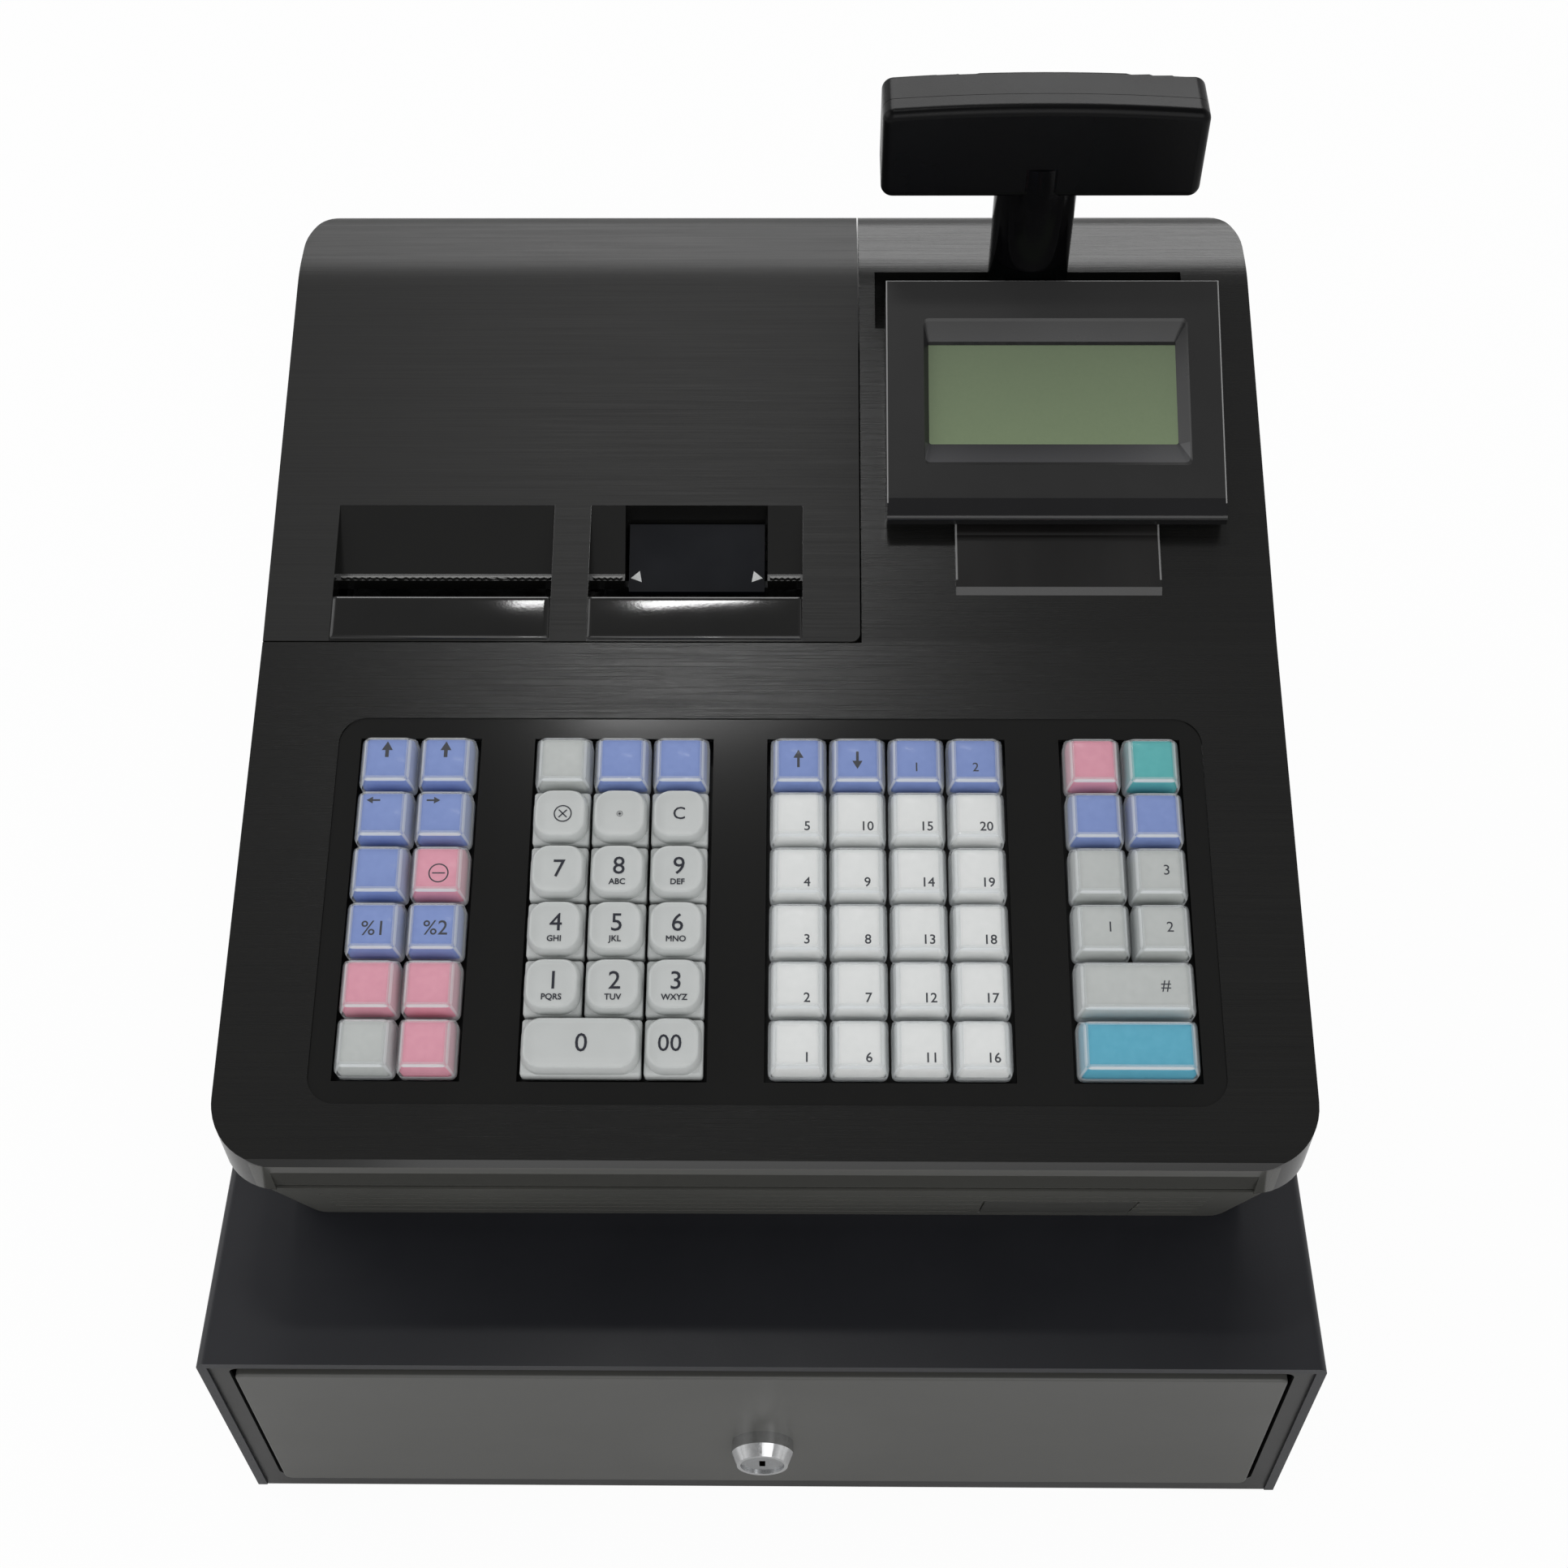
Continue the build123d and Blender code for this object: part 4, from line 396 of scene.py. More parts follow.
def gathered(name, pieces):
    """Joins like pieces into one."""
    alone(pieces[0])
    for piece in pieces:
        piece.select_set(True)
    if len(pieces) > 1:
        bpy.ops.object.join()
    pieces[0].name = name
    return pieces[0]


# Scooped floors in the coin cups, so that a coin can be slid up the front wall.
tray_low, tray_high = map(Vector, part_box("coin_tray"))
tray_wall = 0.0025
cup_count = 6
cup_pitch = (tray_high.x - tray_low.x - tray_wall) / cup_count
cup_front = tray_low.y + tray_wall
cup_floor = tray_low.z + tray_wall
scoop_rise = 0.026
scoop_gap = 0.0002


def upper_rear(first, second):
    level = cup_floor + scoop_rise - 1e-5
    depth = cup_front + scoop_rise - 1e-5
    return min(first.z, second.z) > level and min(first.y, second.y) > depth


scoops = []
for cup in range(cup_count):
    left = tray_low.x + tray_wall + cup * cup_pitch
    right = left + cup_pitch - tray_wall
    low = (left + scoop_gap, cup_front + scoop_gap, cup_floor)
    high = (right - scoop_gap, cup_front + scoop_rise, cup_floor + scoop_rise)
    scoop = slab("scoop", low, high)
    pick(scoop, upper_rear, "EDGE")
    bpy.ops.mesh.bevel(offset=scoop_rise * 0.96, segments=10, profile=0.08, affect="EDGES")
    scoops.append(scoop)
coin_scoops = gathered("coin_cup_scoops", scoops)
shade_by(40)
settle(coin_scoops, "drawer", tray_plastic)


# --------------------------------------
# Drawer lock: brass body and plug, bright chrome over it. The bevelled collar
# stands on the drawer front, and a steel cam is screwed to the plug's tail.

lock_chrome = grained(
    "lock_chrome", (196, 197, 198), (232, 233, 234), (0.07, 0.2), 700.0, detail=5.0, patchy=0.65,
    reach=(0.35, 0.75), Metallic=1.0,
)
dress(lock_chrome, "lock_housing")

keyway_half_width, keyway_half_height = 0.00102, 0.00235
plug_front_y = -0.2035
plug_chrome = Finish("plug_satin_chrome", Metallic=1.0)
plug_x, plug_y, plug_z = plug_chrome.axes()
plug_rise = plug_z - lock_z
plug_rings = plug_chrome.bands(apart(plug_x, plug_rise) * 5200.0)
# Painted shade: the keyway, in front of its shutter, is painted near black.
keyway_painted_shade = (plug_x.size() < keyway_half_width) * (plug_rise.size() < keyway_half_height)
keyway_painted_shade = keyway_painted_shade * (plug_y < plug_front_y)
plug_tone = plug_chrome.mixed(plug_rings, (150, 152, 154), (205, 206, 208))
plug_chrome.colour(keyway_painted_shade, plug_tone, (20, 18, 15))
plug_chrome.roughen(plug_rings, 0.3, 0.7, 0.16, 0.3)
dress(plug_chrome, "lock_plug")

# The pressed dust shutter seen inside the keyway.
shutter_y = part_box("lock_plug")[0][1] + 0.0022
shutter_half_width, shutter_half_height = 0.00095, 0.0021
shutter = slab(
    "keyway_shutter",
    (-shutter_half_width, shutter_y, lock_z - shutter_half_height),
    (shutter_half_width, shutter_y + 0.0008, lock_z + shutter_half_height),
)
pick(shutter, lambda centre, normal: normal.y < -0.9)
bpy.ops.mesh.inset(thickness=0.0003, depth=0.0003)
soften(shutter, 0.0001)
shutter_brass = grained(
    "shutter_brass", (96, 78, 44), (176, 150, 92), (0.25, 0.5), 2500.0, Metallic=1.0,
)
settle(shutter, "lock_cylinder", shutter_brass)


# --------------------------------------
# Latch and release: a sintered steel hook on a pin, and a solenoid with its
# taped winding on a zinc plated bracket at the back of the case.

latch_steel = grained(
    "latch_steel", (96, 97, 98), (148, 148, 146), (0.35, 0.55), 2200.0, detail=4.0, patchy=0.7,
    relief=(0.00004, 0.4), Metallic=1.0,
)
dress(latch_steel, "latch_hook")
dress(clip_steel, "solenoid_plunger")

coil_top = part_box("release_solenoid")[1][2]
solenoid = Finish("solenoid_tape_and_zinc")
coil_z = solenoid.axes()[2]
tape_foot, tape_head = coil_top - 0.0262, coil_top - 0.0038
tape = (coil_z > tape_foot) * (coil_z < tape_head)
tape_turns = solenoid.bands(coil_z * 1500.0)
tape_shade = solenoid.mixed(tape_turns, (186, 150, 46), (226, 196, 92))
zinc_shade = solenoid.mixed(solenoid.grain(300.0), (140, 143, 145), (186, 188, 188))
solenoid.colour(tape, zinc_shade, tape_shade)
solenoid.feed("Metallic", 1.0 - tape)
solenoid.roughen(tape_turns, 0.2, 0.8, 0.3, 0.42)
dress(solenoid, "release_solenoid")


# --------------------------------------
# Base of the register: a tub moulded in dark grey, grooved across its front,
# bolted to the case through a zinc plated chassis plate.

body_plain = moulding("body_plain_grey", (78, 78, 75), (87, 87, 83), 0.36)
dress(body_plain, "lower_cabinet")
dress(sheet_zinc, "base_chassis")
dress(ball_steel, "cabinet_screws")

door_plastic = moulding("card_door_grey", (72, 72, 70), (81, 81, 78), 0.33)
dress(door_plastic, "card_door")

gland_rubber = grained(
    "gland_black", (15, 15, 15), (30, 30, 29), (0.45, 0.65), 500.0, detail=4.0,
    relief=(0.00008, 0.4), shine=0.35,
)
dress(gland_rubber, "cord_gland")


# --------------------------------------
# Electronics: a green main board with its chips and capacitors on posts, and
# the mains transformer with varnished laminations and a taped winding.


def circuit_board(name, board_top, part_top):
    """Solder-masked glass board with copper runs; parts above it are black."""
    board = Finish(name)
    board_x, board_y, board_z = board.axes()
    runs_x = ((board_x * 520.0).remainder(1.0) < 0.35) * (board.grain(60.0, (1.0, 0.15, 1.0)) > 0.5)
    runs_y = ((board_y * 520.0).remainder(1.0) < 0.35) * (board.grain(60.0, (0.15, 1.0, 1.0)) > 0.53)
    copper = runs_x.larger(runs_y)
    mask = board.mixed(copper, (22, 84, 48), (44, 122, 66))
    part = (board_z > board_top + 0.0002) * (board_z < part_top)
    board.colour(part, mask, (28, 28, 30))
    board.feed("Roughness", board.between(copper, 0.0, 1.0, 0.34, 0.26) + part * 0.1)
    board.emboss(copper, 0.00006, 0.5)
    return board


dress(circuit_board("main_board_mask", board_top=0.1256, part_top=0.2), "main_board")
dress(circuit_board("key_board_mask", board_top=0.3, part_top=0.31), "key_board")

core_low, core_high = map(Vector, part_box("transformer"))
core_iron = Finish("transformer_core")
core_y, core_z = core_iron.axes()[1:]
winding_depth = 0.0098
front_winding = core_y < core_low.y + winding_depth
winding = (front_winding + (core_y > core_high.y - winding_depth)).smaller(1.0)
plates = core_iron.bands(core_y * 2200.0)
turns = core_iron.bands(core_z * 1300.0)
core_shade = core_iron.mixed(plates, (42, 38, 34), (92, 86, 78))
tape_tone = core_iron.mixed(turns, (150, 116, 40), (206, 172, 82))
core_iron.colour(winding, core_shade, tape_tone)
core_iron.roughen(plates, 0.2, 0.8, 0.3, 0.5)
core_iron.emboss(plates, 0.0002, 0.4)
dress(core_iron, "transformer")


# --------------------------------------
# Top cabinet: one large moulding. Its sloping top carries a film with a fine
# brushed pattern across it; the sides, rims and key well are plain and glossy.

band_y, band_top = -0.1688, 0.1796
chamfer_y = -0.15
chamfer_lean, top_lean, top_flat = 0.72, 0.86, 0.9
glint_inner, glint_outer = 0.128, 0.146


def brushed(name, plain_mask, sheen, plain_rough):
    """Black film brushed along X, over a smooth moulding whose front band is painted lighter, with a
    painted highlight along the front chamfer.
    """
    film = Finish(name)
    hair = film.grain(1.0, (22.0, 3600.0, 3600.0), detail=3.0, roughness=0.7)
    streak = film.grain(1.0, (9.0, 1300.0, 1300.0), detail=4.0, roughness=0.7)
    facing = film.node("SeparateXYZ", output=2, Vector=film.node("NewGeometry", output=1))
    top_faces = film.between(facing, top_lean, top_flat, 0.0, 1.0) * (1.0 - plain_mask(film))
    x, y, z = film.axes()
    # Painted light: the upright front band is painted greyer than the other plain faces.
    front_band_painted_light = (y < band_y) * (z < band_top)
    chamfer = (facing > chamfer_lean) * (facing < top_lean) * (y < chamfer_y)
    line = film.between(hair * 0.5 + streak * 0.5, 0.38, 0.64, 0.0, 1.0)
    brushed_shade = film.mixed(line, (11, 11, 10), (27, 27, 26))
    plain_shade = film.mixed(film.grain(14.0), (16, 16, 15), (20, 20, 19))
    side_shade = film.mixed(front_band_painted_light, plain_shade, (66, 66, 63))
    # Painted highlight: a pale line along the front chamfer, patchy along X and full round the
    # corner arcs.
    glint = film.between(film.grain(9.0, (1.0, 0.1, 0.1)), 0.42, 0.62, 0.25, 0.9)
    glint = glint.larger(film.between(x.size(), glint_inner, glint_outer, 0.0, 1.0))
    painted_edge_highlight = film.mixed(glint, (60, 60, 59), (186, 186, 183))
    side_shade = film.mixed(chamfer, side_shade, painted_edge_highlight)
    film.colour(top_faces, side_shade, brushed_shade)
    brushed_rough = film.between(line, 0.0, 1.0, sheen + 0.1, sheen)
    film.feed("Roughness", brushed_rough * top_faces + plain_rough * (1.0 - top_faces))
    film.emboss(hair * top_faces + film.grain(900.0) * 0.02, 0.00005, 0.5)
    return film


panel_slope = math.radians(14.83)
panel_start = Vector((0, -0.1441, 0.188))
key_pitch = 0.019
key_grid_x = 0.0023


def key_well(film):
    """1 in the recess that holds the keys, which lies under the panel's plane, 0 elsewhere."""
    y, _, height = on_slope(film, panel_start, panel_slope)[1:]
    return (height < -0.0003) * (y < 0.0)


dress(brushed("panel_brushed_film", key_well, 0.2, 0.12), "top_cabinet")


# --------------------------------------
# Function and department keys: a clear cap with sloping sides clips over a
# coloured insert, which carries the printed legend.


def tilted(piece, start, slope):
    """Turns a piece made on the level to lie in a sloping plane."""
    alone(piece)
    piece.rotation_euler = (slope, 0, 0)
    piece.location = start
    fix_place()
    return piece


def on_panel(piece):
    return tilted(piece, panel_start, panel_slope)


def key_spot(column, row, aside=0.0, up=0.0):
    """A spot by the middle of a key, its column from the left and its row from the front."""
    return (key_grid_x + (column - 6.5) * key_pitch + aside, (row + 0.5) * key_pitch + up)


def facing_up(centre, normal):
    return normal.z > 0.9


def draw_up(width, depth, low, high, draw_in):
    """Raises the picked top of a body and draws its edges in."""
    bpy.ops.mesh.extrude_region_move(TRANSFORM_OT_translate={"value": (0, 0, high - low)})
    narrower = ((width - 2 * draw_in) / width, (depth - 2 * draw_in) / depth, 1)
    bpy.ops.transform.resize(value=narrower, center_override=(0, 0, high))


def key_block(width, depth, foot, shoulder, crown, draw_in, corner, rim):
    """A key body at the origin: straight skirt, sloping sides, rounded rim."""
    body = slab("key_body", (-width / 2, -depth / 2, foot), (width / 2, depth / 2, shoulder))
    pick(body, upright, "EDGE")
    bpy.ops.mesh.bevel(offset=corner, segments=3, affect="EDGES")
    pick(body, facing_up)
    draw_up(width, depth, shoulder, crown, draw_in)
    pick(body, lambda first, second: min(first.z, second.z) > crown - 1e-5, "EDGE")
    bpy.ops.mesh.bevel(offset=rim, segments=2, affect="EDGES")
    alone(body)
    shade_by(35)
    return body


def laid(piece, spot, level, turn=0.0):
    """Turns a piece and lays it at a spot on the level."""
    alone(piece)
    piece.rotation_euler = (0, 0, turn)
    piece.location = (*spot, level)
    fix_place()
    return piece


def copied(model, spot):
    """A copy with its own mesh, moved to a key's place on the level."""
    alone(model)
    bpy.ops.object.duplicate()
    return laid(bpy.context.object, spot, 0.0)


half_gap = 0.00045
key_width = key_pitch - 2 * half_gap
cap_foot = -0.0036
cap_shoulder = 0.002
cap_draw_in = 0.0019
cap_crown = 0.0070
insert_crown = 0.0064
rim_width, outline_width, front_highlight_width = 0.0009, 0.00035, 0.0002


def clear_cap_finish(name, middle_x, middle_v, across, along):
    """Clear styrene: nearly invisible on top, with painted highlights where its edges turn,
    brightest along the crown's front edge.
    """
    pale = tint(236, 240, 242)
    clear = Finish(name, Base_Color=pale, Roughness=0.09, shine=0.6)
    x, _, up_slope, height = on_slope(clear, panel_start, panel_slope)
    taper = clear.between(height, cap_shoulder, cap_crown, 0.0, cap_draw_in)
    in_cell_x = (x - middle_x + 20.5 * across).remainder(across) - 0.5 * across
    in_cell_v = (up_slope - middle_v + 20.5 * along).remainder(along) - 0.5 * along
    to_edge_x = 0.5 * across - half_gap - taper - in_cell_x.size()
    to_edge_v = 0.5 * along - half_gap - taper - in_cell_v.size()
    in_front = in_cell_v < 0.0
    crown = height > cap_crown - 0.0012
    rim = crown * (to_edge_x.smaller(to_edge_v) < rim_width)
    outline = crown * (to_edge_x.smaller(to_edge_v) < outline_width)
    front_edge_highlight = crown * in_front * (to_edge_v < front_highlight_width)
    post = (to_edge_x.larger(to_edge_v) < rim_width) * (1.0 - crown)
    foot = height < 0.0004
    cheek = (1.0 - crown) * (to_edge_x < to_edge_v)
    # Painted highlights: the crown's rim, outline and front edge are made pale and opaque; posts,
    # foot and side flanks are paler too, partly the clear plastic's own haze and partly painted
    # highlight.
    edges = (rim * 0.24).larger(outline * 0.5).larger(front_edge_highlight * 0.72)
    veil = edges.larger(post * 0.5).larger(foot * 0.42).larger(cheek * 0.3)
    clear.feed("Alpha", veil + 0.05)
    return clear


insert_tones = {
    "blue": ((120, 142, 202), (134, 156, 214)),
    "pink": ((222, 148, 168), (234, 164, 182)),
    "grey": ((186, 190, 188), (200, 203, 201)),
    "white": ((230, 232, 231), (240, 241, 240)),
    "teal": ((76, 174, 176), (92, 190, 190)),
    "cyan": ((74, 166, 194), (92, 182, 208)),
}
insert_finishes = {
    shade: grained(
        "insert_" + shade, *tones, (0.4, 0.52), 420.0, relief=(0.00003, 0.3), shine=0.4
    )
    for shade, tones in insert_tones.items()
}
legend_ink = grained("legend_ink", (28, 30, 40), (48, 50, 60), (0.4, 0.6), 2600.0, shine=0.4)
ink_depth = 0.00001


def lettered(words, size, spot, level, weight=0.003):
    """Words or digits as a thin layer of ink, on the level."""
    clear_selection()
    bpy.ops.object.text_add()
    text = bpy.context.object
    text.data.body = words
    text.data.size = size
    text.data.align_x = "CENTER"
    text.data.align_y = "CENTER"
    text.data.extrude = ink_depth
    text.data.bevel_depth = weight * size
    text.data.bevel_resolution = 0
    text.data.resolution_u = 3
    bpy.ops.object.convert(target="MESH")
    text = bpy.context.object
    text.scale.z = ink_depth / (ink_depth + weight * size)
    return laid(text, spot, level)


def arrow(spot, level, length, turn, weight=0.075):
    """A printed arrow: a shaft and a head drawn from one triangle."""
    clear_selection()
    reach = length * (0.19 + 2 * weight)
    bpy.ops.mesh.primitive_circle_add(vertices=3, radius=reach, fill_type="NGON")
    head = bpy.context.object
    head.location = (0, length * 0.26, 0)
    fix_place()
    half = length * weight
    stroke = slab("stroke", (-half, -length * 0.5, 0), (half, length * 0.3, ink_depth))
    return laid(gathered("arrow", [head, stroke]), spot, level, turn)


def ringed(spot, level, radius, bars):
    """A printed ring with bars across it at the given turns."""
    clear_selection()
    half = radius * 0.07
    bpy.ops.mesh.primitive_torus_add(major_radius=radius, minor_radius=half, major_segments=32)
    parts = [bpy.context.object]
    parts[0].scale = (1, 1, 0.05)
    for turn in bars:
        bar = slab("bar", (-radius * 0.68, -half, 0), (radius * 0.68, half, ink_depth))
        bar.rotation_euler = (0, 0, turn)
        parts.append(bar)
    return laid(gathered("ring", parts), spot, level)


def key_cap(width):
    """A clear cap at the origin."""
    sides = (cap_foot, cap_shoulder, cap_crown, cap_draw_in)
    return key_block(width, key_width, *sides, corner=0.0021, rim=0.0008)


def key_insert(width):
    """The insert that fits into a cap of this width."""
    sides = (cap_foot + 0.0002, cap_shoulder, insert_crown, 0.0017)
    return key_block(width - 0.0018, key_width - 0.0012, *sides, corner=0.0016, rim=0.0005)


def capped_keys(node, body, members, shades=None):
    """Clear caps over the keys of a node, and inserts of each colour under them."""
    caps = gathered(node + "_caps", [copied(single_cap, key_spot(*place)) for place in members])
    settle(on_panel(caps), body, cap_clear)
    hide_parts(node)
    for shade in shades or sorted(set(members.values())):
        spots = [key_spot(*place) for place, named in members.items() if named == shade]
        copies = [copied(single_insert, spot) for spot in spots]
        inserts = gathered(f"{node}_{shade}_inserts", copies)
        settle(on_panel(inserts), body, insert_finishes[shade])


def printed(name, body, marks):
    """Joins the marks on a node's keys and prints them."""
    settle(on_panel(gathered(name, marks)), body, legend_ink)


def key_colours(first_column, first_row, *rows):
    """The colour of each key of a block, row by row from the front."""
    return {
        (first_column + place, first_row + row): shade
        for row, shades in enumerate(rows)
        for place, shade in enumerate(shades.split())
    }


quarter = math.pi / 2
small_digit = 0.0044
department_rows = ["white white"] * 5 + ["blue blue"]
on_insert = insert_crown + 0.00003
single_cap = key_cap(key_width)
single_insert = key_insert(key_width)
key_banks = {
    "left_function_keys": ("function_bank", key_colours(
        0, 0, "grey pink", "pink pink", "blue blue", "blue pink", "blue blue", "blue blue"
    )),
    "department_keys_left": ("department_bank_left", key_colours(7, 0, *department_rows)),
    "department_keys_right": ("department_bank_right", key_colours(9, 0, *department_rows)),
    "transaction_keys": ("transaction_bank", key_colours(
        12, 2, "grey grey", "grey grey", "blue blue", "pink teal"
    )),
}
bank_marks = {
    "left_function_keys": [
        arrow(key_spot(0, 5, 0.0, 0.0028), on_insert, 0.0046, 0, 0.13),
        arrow(key_spot(1, 5, 0.0, 0.0028), on_insert, 0.0046, 0, 0.13),
        arrow(key_spot(0, 4, -0.0029, 0.0044), on_insert, 0.004, quarter),
        arrow(key_spot(1, 4, -0.003, 0.0044), on_insert, 0.004, -quarter),
        ringed(key_spot(1, 3, 0.0005, -0.0015), on_insert, 0.003, (0,)),
        lettered("%1", 0.0068, key_spot(0, 2, 0.0004, -0.0012), on_insert),
        lettered("%2", 0.0068, key_spot(1, 2, 0.0008, -0.001), on_insert),
    ],
    "department_keys_left": [
        arrow(key_spot(7, 5), on_insert, 0.0056, 0),
        arrow(key_spot(8, 5), on_insert, 0.0056, math.pi),
    ],
    "department_keys_right": [
        lettered("1", small_digit, key_spot(9, 5, 0.0, -0.0028), on_insert),
        lettered("2", small_digit, key_spot(10, 5, 0.0, -0.0028), on_insert),
    ],
    "transaction_keys": [
        lettered("3", 0.0048, key_spot(13, 3, 0.0021), on_insert),
        lettered("1", 0.0048, key_spot(12, 2, 0.0024), on_insert),
        lettered("2", 0.0048, key_spot(13, 2, 0.002), on_insert),
    ],
}
for column in (7, 8, 9, 10):
    bank = "department_keys_left" if column < 9 else "department_keys_right"
    for row in range(5):
        number = str((column - 7) * 5 + row + 1)
        spot = key_spot(column, row, 0.0029, -0.0043)
        bank_marks[bank].append(lettered(number, small_digit, spot, on_insert, 0.012))

first_x, first_v = key_spot(0, 0)
cap_clear = clear_cap_finish("cap_clear", first_x, first_v, key_pitch, key_pitch)
for node, (body, members) in key_banks.items():
    capped_keys(node, body, members)
    printed(node + "_legends", body, bank_marks[node])

# The two wide keys at the front of the right-hand block.
wide_width = 2 * key_pitch - 2 * half_gap
wide_cap = key_cap(wide_width)
wide_insert = key_insert(wide_width)
wide_x, wide_v = key_spot(12.5, 0)
wide_clear = clear_cap_finish("wide_cap_clear", wide_x, wide_v, 2 * key_pitch, key_pitch)
for node, body, row, shade in (
    ("subtotal_key", "subtotal", 1, "grey"),
    ("total_key", "total", 0, "cyan"),
):
    cap = copied(wide_cap, key_spot(12.5, row))
    cap.name = node + "_cap"
    settle(on_panel(cap), body, wide_clear)
    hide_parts(node)
    insert = copied(wide_insert, key_spot(12.5, row))
    insert.name = node + "_insert"
    settle(on_panel(insert), body, insert_finishes[shade])
hash_mark = lettered("#", 0.0052, key_spot(12.5, 1, 0.009), on_insert)
printed("subtotal_key_legend", "subtotal", [hash_mark])


# --------------------------------------
# Number keys: solid satin grey, a square foot with a round-cornered button on
# it whose top is a shallow dish inside a raised rim. Digits are printed on it.

foot_top, button_side, button_top = 0.0014, 0.0042, 0.0068


def dished_key(width):
    """A number key at the origin."""
    depth = key_width
    foot = slab("foot", (-width / 2, -depth / 2, cap_foot), (width / 2, depth / 2, foot_top))
    pick(foot, upright, "EDGE")
    bpy.ops.mesh.bevel(offset=0.0009, segments=2, affect="EDGES")
    pick(foot, facing_up)
    draw_up(width, depth, foot_top, 0.0023, 0.0006)
    half_x = width / 2 - 0.0003
    half_v = depth / 2 - 0.0003
    button = slab("button", (-half_x, -half_v, foot_top - 0.0002), (half_x, half_v, button_side))
    pick(button, upright, "EDGE")
    bpy.ops.mesh.bevel(offset=0.0058, segments=7, affect="EDGES")
    pick(button, facing_up)
    draw_up(width, depth, button_side, button_top, 0.00105)
    bpy.ops.mesh.inset(thickness=0.0006, depth=0.0)
    bpy.ops.mesh.inset(thickness=0.0009, depth=-0.00045)
    bpy.ops.mesh.inset(thickness=0.0022, depth=-0.0002)
    key = gathered("dished_key", [foot, button])
    soften(key, 0.0003, 2, 24)
    return key


satin_grey = Finish("number_key_satin_grey", shine=0.45)
key_mottle = satin_grey.grain(520.0, detail=3.0)
key_flow = satin_grey.grain(60.0, detail=2.0)
satin_grey.colour(key_flow, (194, 197, 196), (206, 209, 208))
satin_grey.roughen(key_mottle, 0.3, 0.7, 0.34, 0.46)
satin_grey.emboss(key_mottle, 0.00003, 0.35)

on_dish = 0.00625
round_key = dished_key(key_width)
long_key = dished_key(wide_width)
phone_letters = ("PQRS", "TUV", "WXYZ", "GHI", "JKL", "MNO", "", "ABC", "DEF")
digit_keys = [
    (f"key_{n}", f"digit_key_{n}", 3 + (n - 1) % 3, 1 + (n - 1) // 3, str(n), letters)
    for n, letters in enumerate(phone_letters, 1)
]
digit_keys.append(("key_00", "digit_key_double_zero", 5, 0, "00", ""))
digit_keys.append(("key_0", "digit_key_zero", 3.5, 0, "0", ""))
for node, body, column, row, digit, letters in digit_keys:
    key = copied(long_key if node == "key_0" else round_key, key_spot(column, row))
    key.name = node + "_button"
    settle(on_panel(key), body, satin_grey)
    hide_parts(node)
    size, aside = (0.0076, -0.001) if digit == "00" else (0.0083, 0.0004)
    marks = [lettered(digit, size, key_spot(column, row, aside, 0.001 if letters else 0.0), on_dish)]
    if letters:
        spot = key_spot(column, row, 0.0, -0.0042)
        marks.append(lettered(letters, 0.0027, spot, on_dish + 0.0001, 0.02))
    printed(node + "_legend", body, marks)

capped_keys("entry_keys", "entry_bank", key_colours(3, 5, "grey blue blue"), ("grey", "blue"))
entry_row = [copied(round_key, key_spot(column, 4)) for column in (3, 4, 5)]
entry_buttons = gathered("entry_keys_buttons", entry_row)
settle(on_panel(entry_buttons), "entry_bank", satin_grey)
entry_marks = [
    ringed(key_spot(3, 4, 0.0008), on_dish, 0.0027, (quarter / 2, -quarter / 2)),
    ringed(key_spot(4, 4), on_dish, 0.0009, (0, quarter / 2, quarter, -quarter / 2)),
    lettered("C", 0.0060, key_spot(5, 4), on_dish),
]
printed("entry_keys_legends", "entry_bank", entry_marks)
for model in (single_cap, single_insert, wide_cap, wide_insert, round_key, long_key):
    bpy.data.objects.remove(model)

guide_black = moulding("key_guide_black", (18, 18, 18), (26, 26, 26), 0.45)
dress(guide_black, "key_frame")


# --------------------------------------
# Twin printer: side plates of zinc plated sheet, rubber platens on steel
# shafts, feed motors, and white paper on card cores.

printer_zinc = zinc("printer_zinc", (182, 184, 185), (132, 135, 138), 0.34)
dress(printer_zinc, "printer_frame")


def round_the_axis(finish, axis_y, axis_z):
    """Distance from an axle that runs along X."""
    y, z = finish.axes()[1:]
    return apart(y - axis_y, z - axis_z)


platen_rubber = Finish("platen_rubber", shine=0.4)
platen_reach = round_the_axis(platen_rubber, axis_y=0.0265, axis_z=0.212)
platen_shaft = platen_reach < 0.0021
platen_skin = platen_rubber.grain(900.0, (0.2, 1.0, 1.0), detail=3.0)
platen_shade = platen_rubber.mixed(platen_skin, (52, 52, 52), (78, 78, 76))
platen_rubber.colour(platen_shaft, platen_shade, (190, 190, 188))
platen_rubber.feed("Metallic", platen_shaft)
platen_rubber.roughen(platen_shaft, 0.0, 1.0, 0.62, 0.25)
platen_rubber.emboss(platen_skin, 0.00005, 0.4)
dress(platen_rubber, "receipt_platen", "journal_platen")

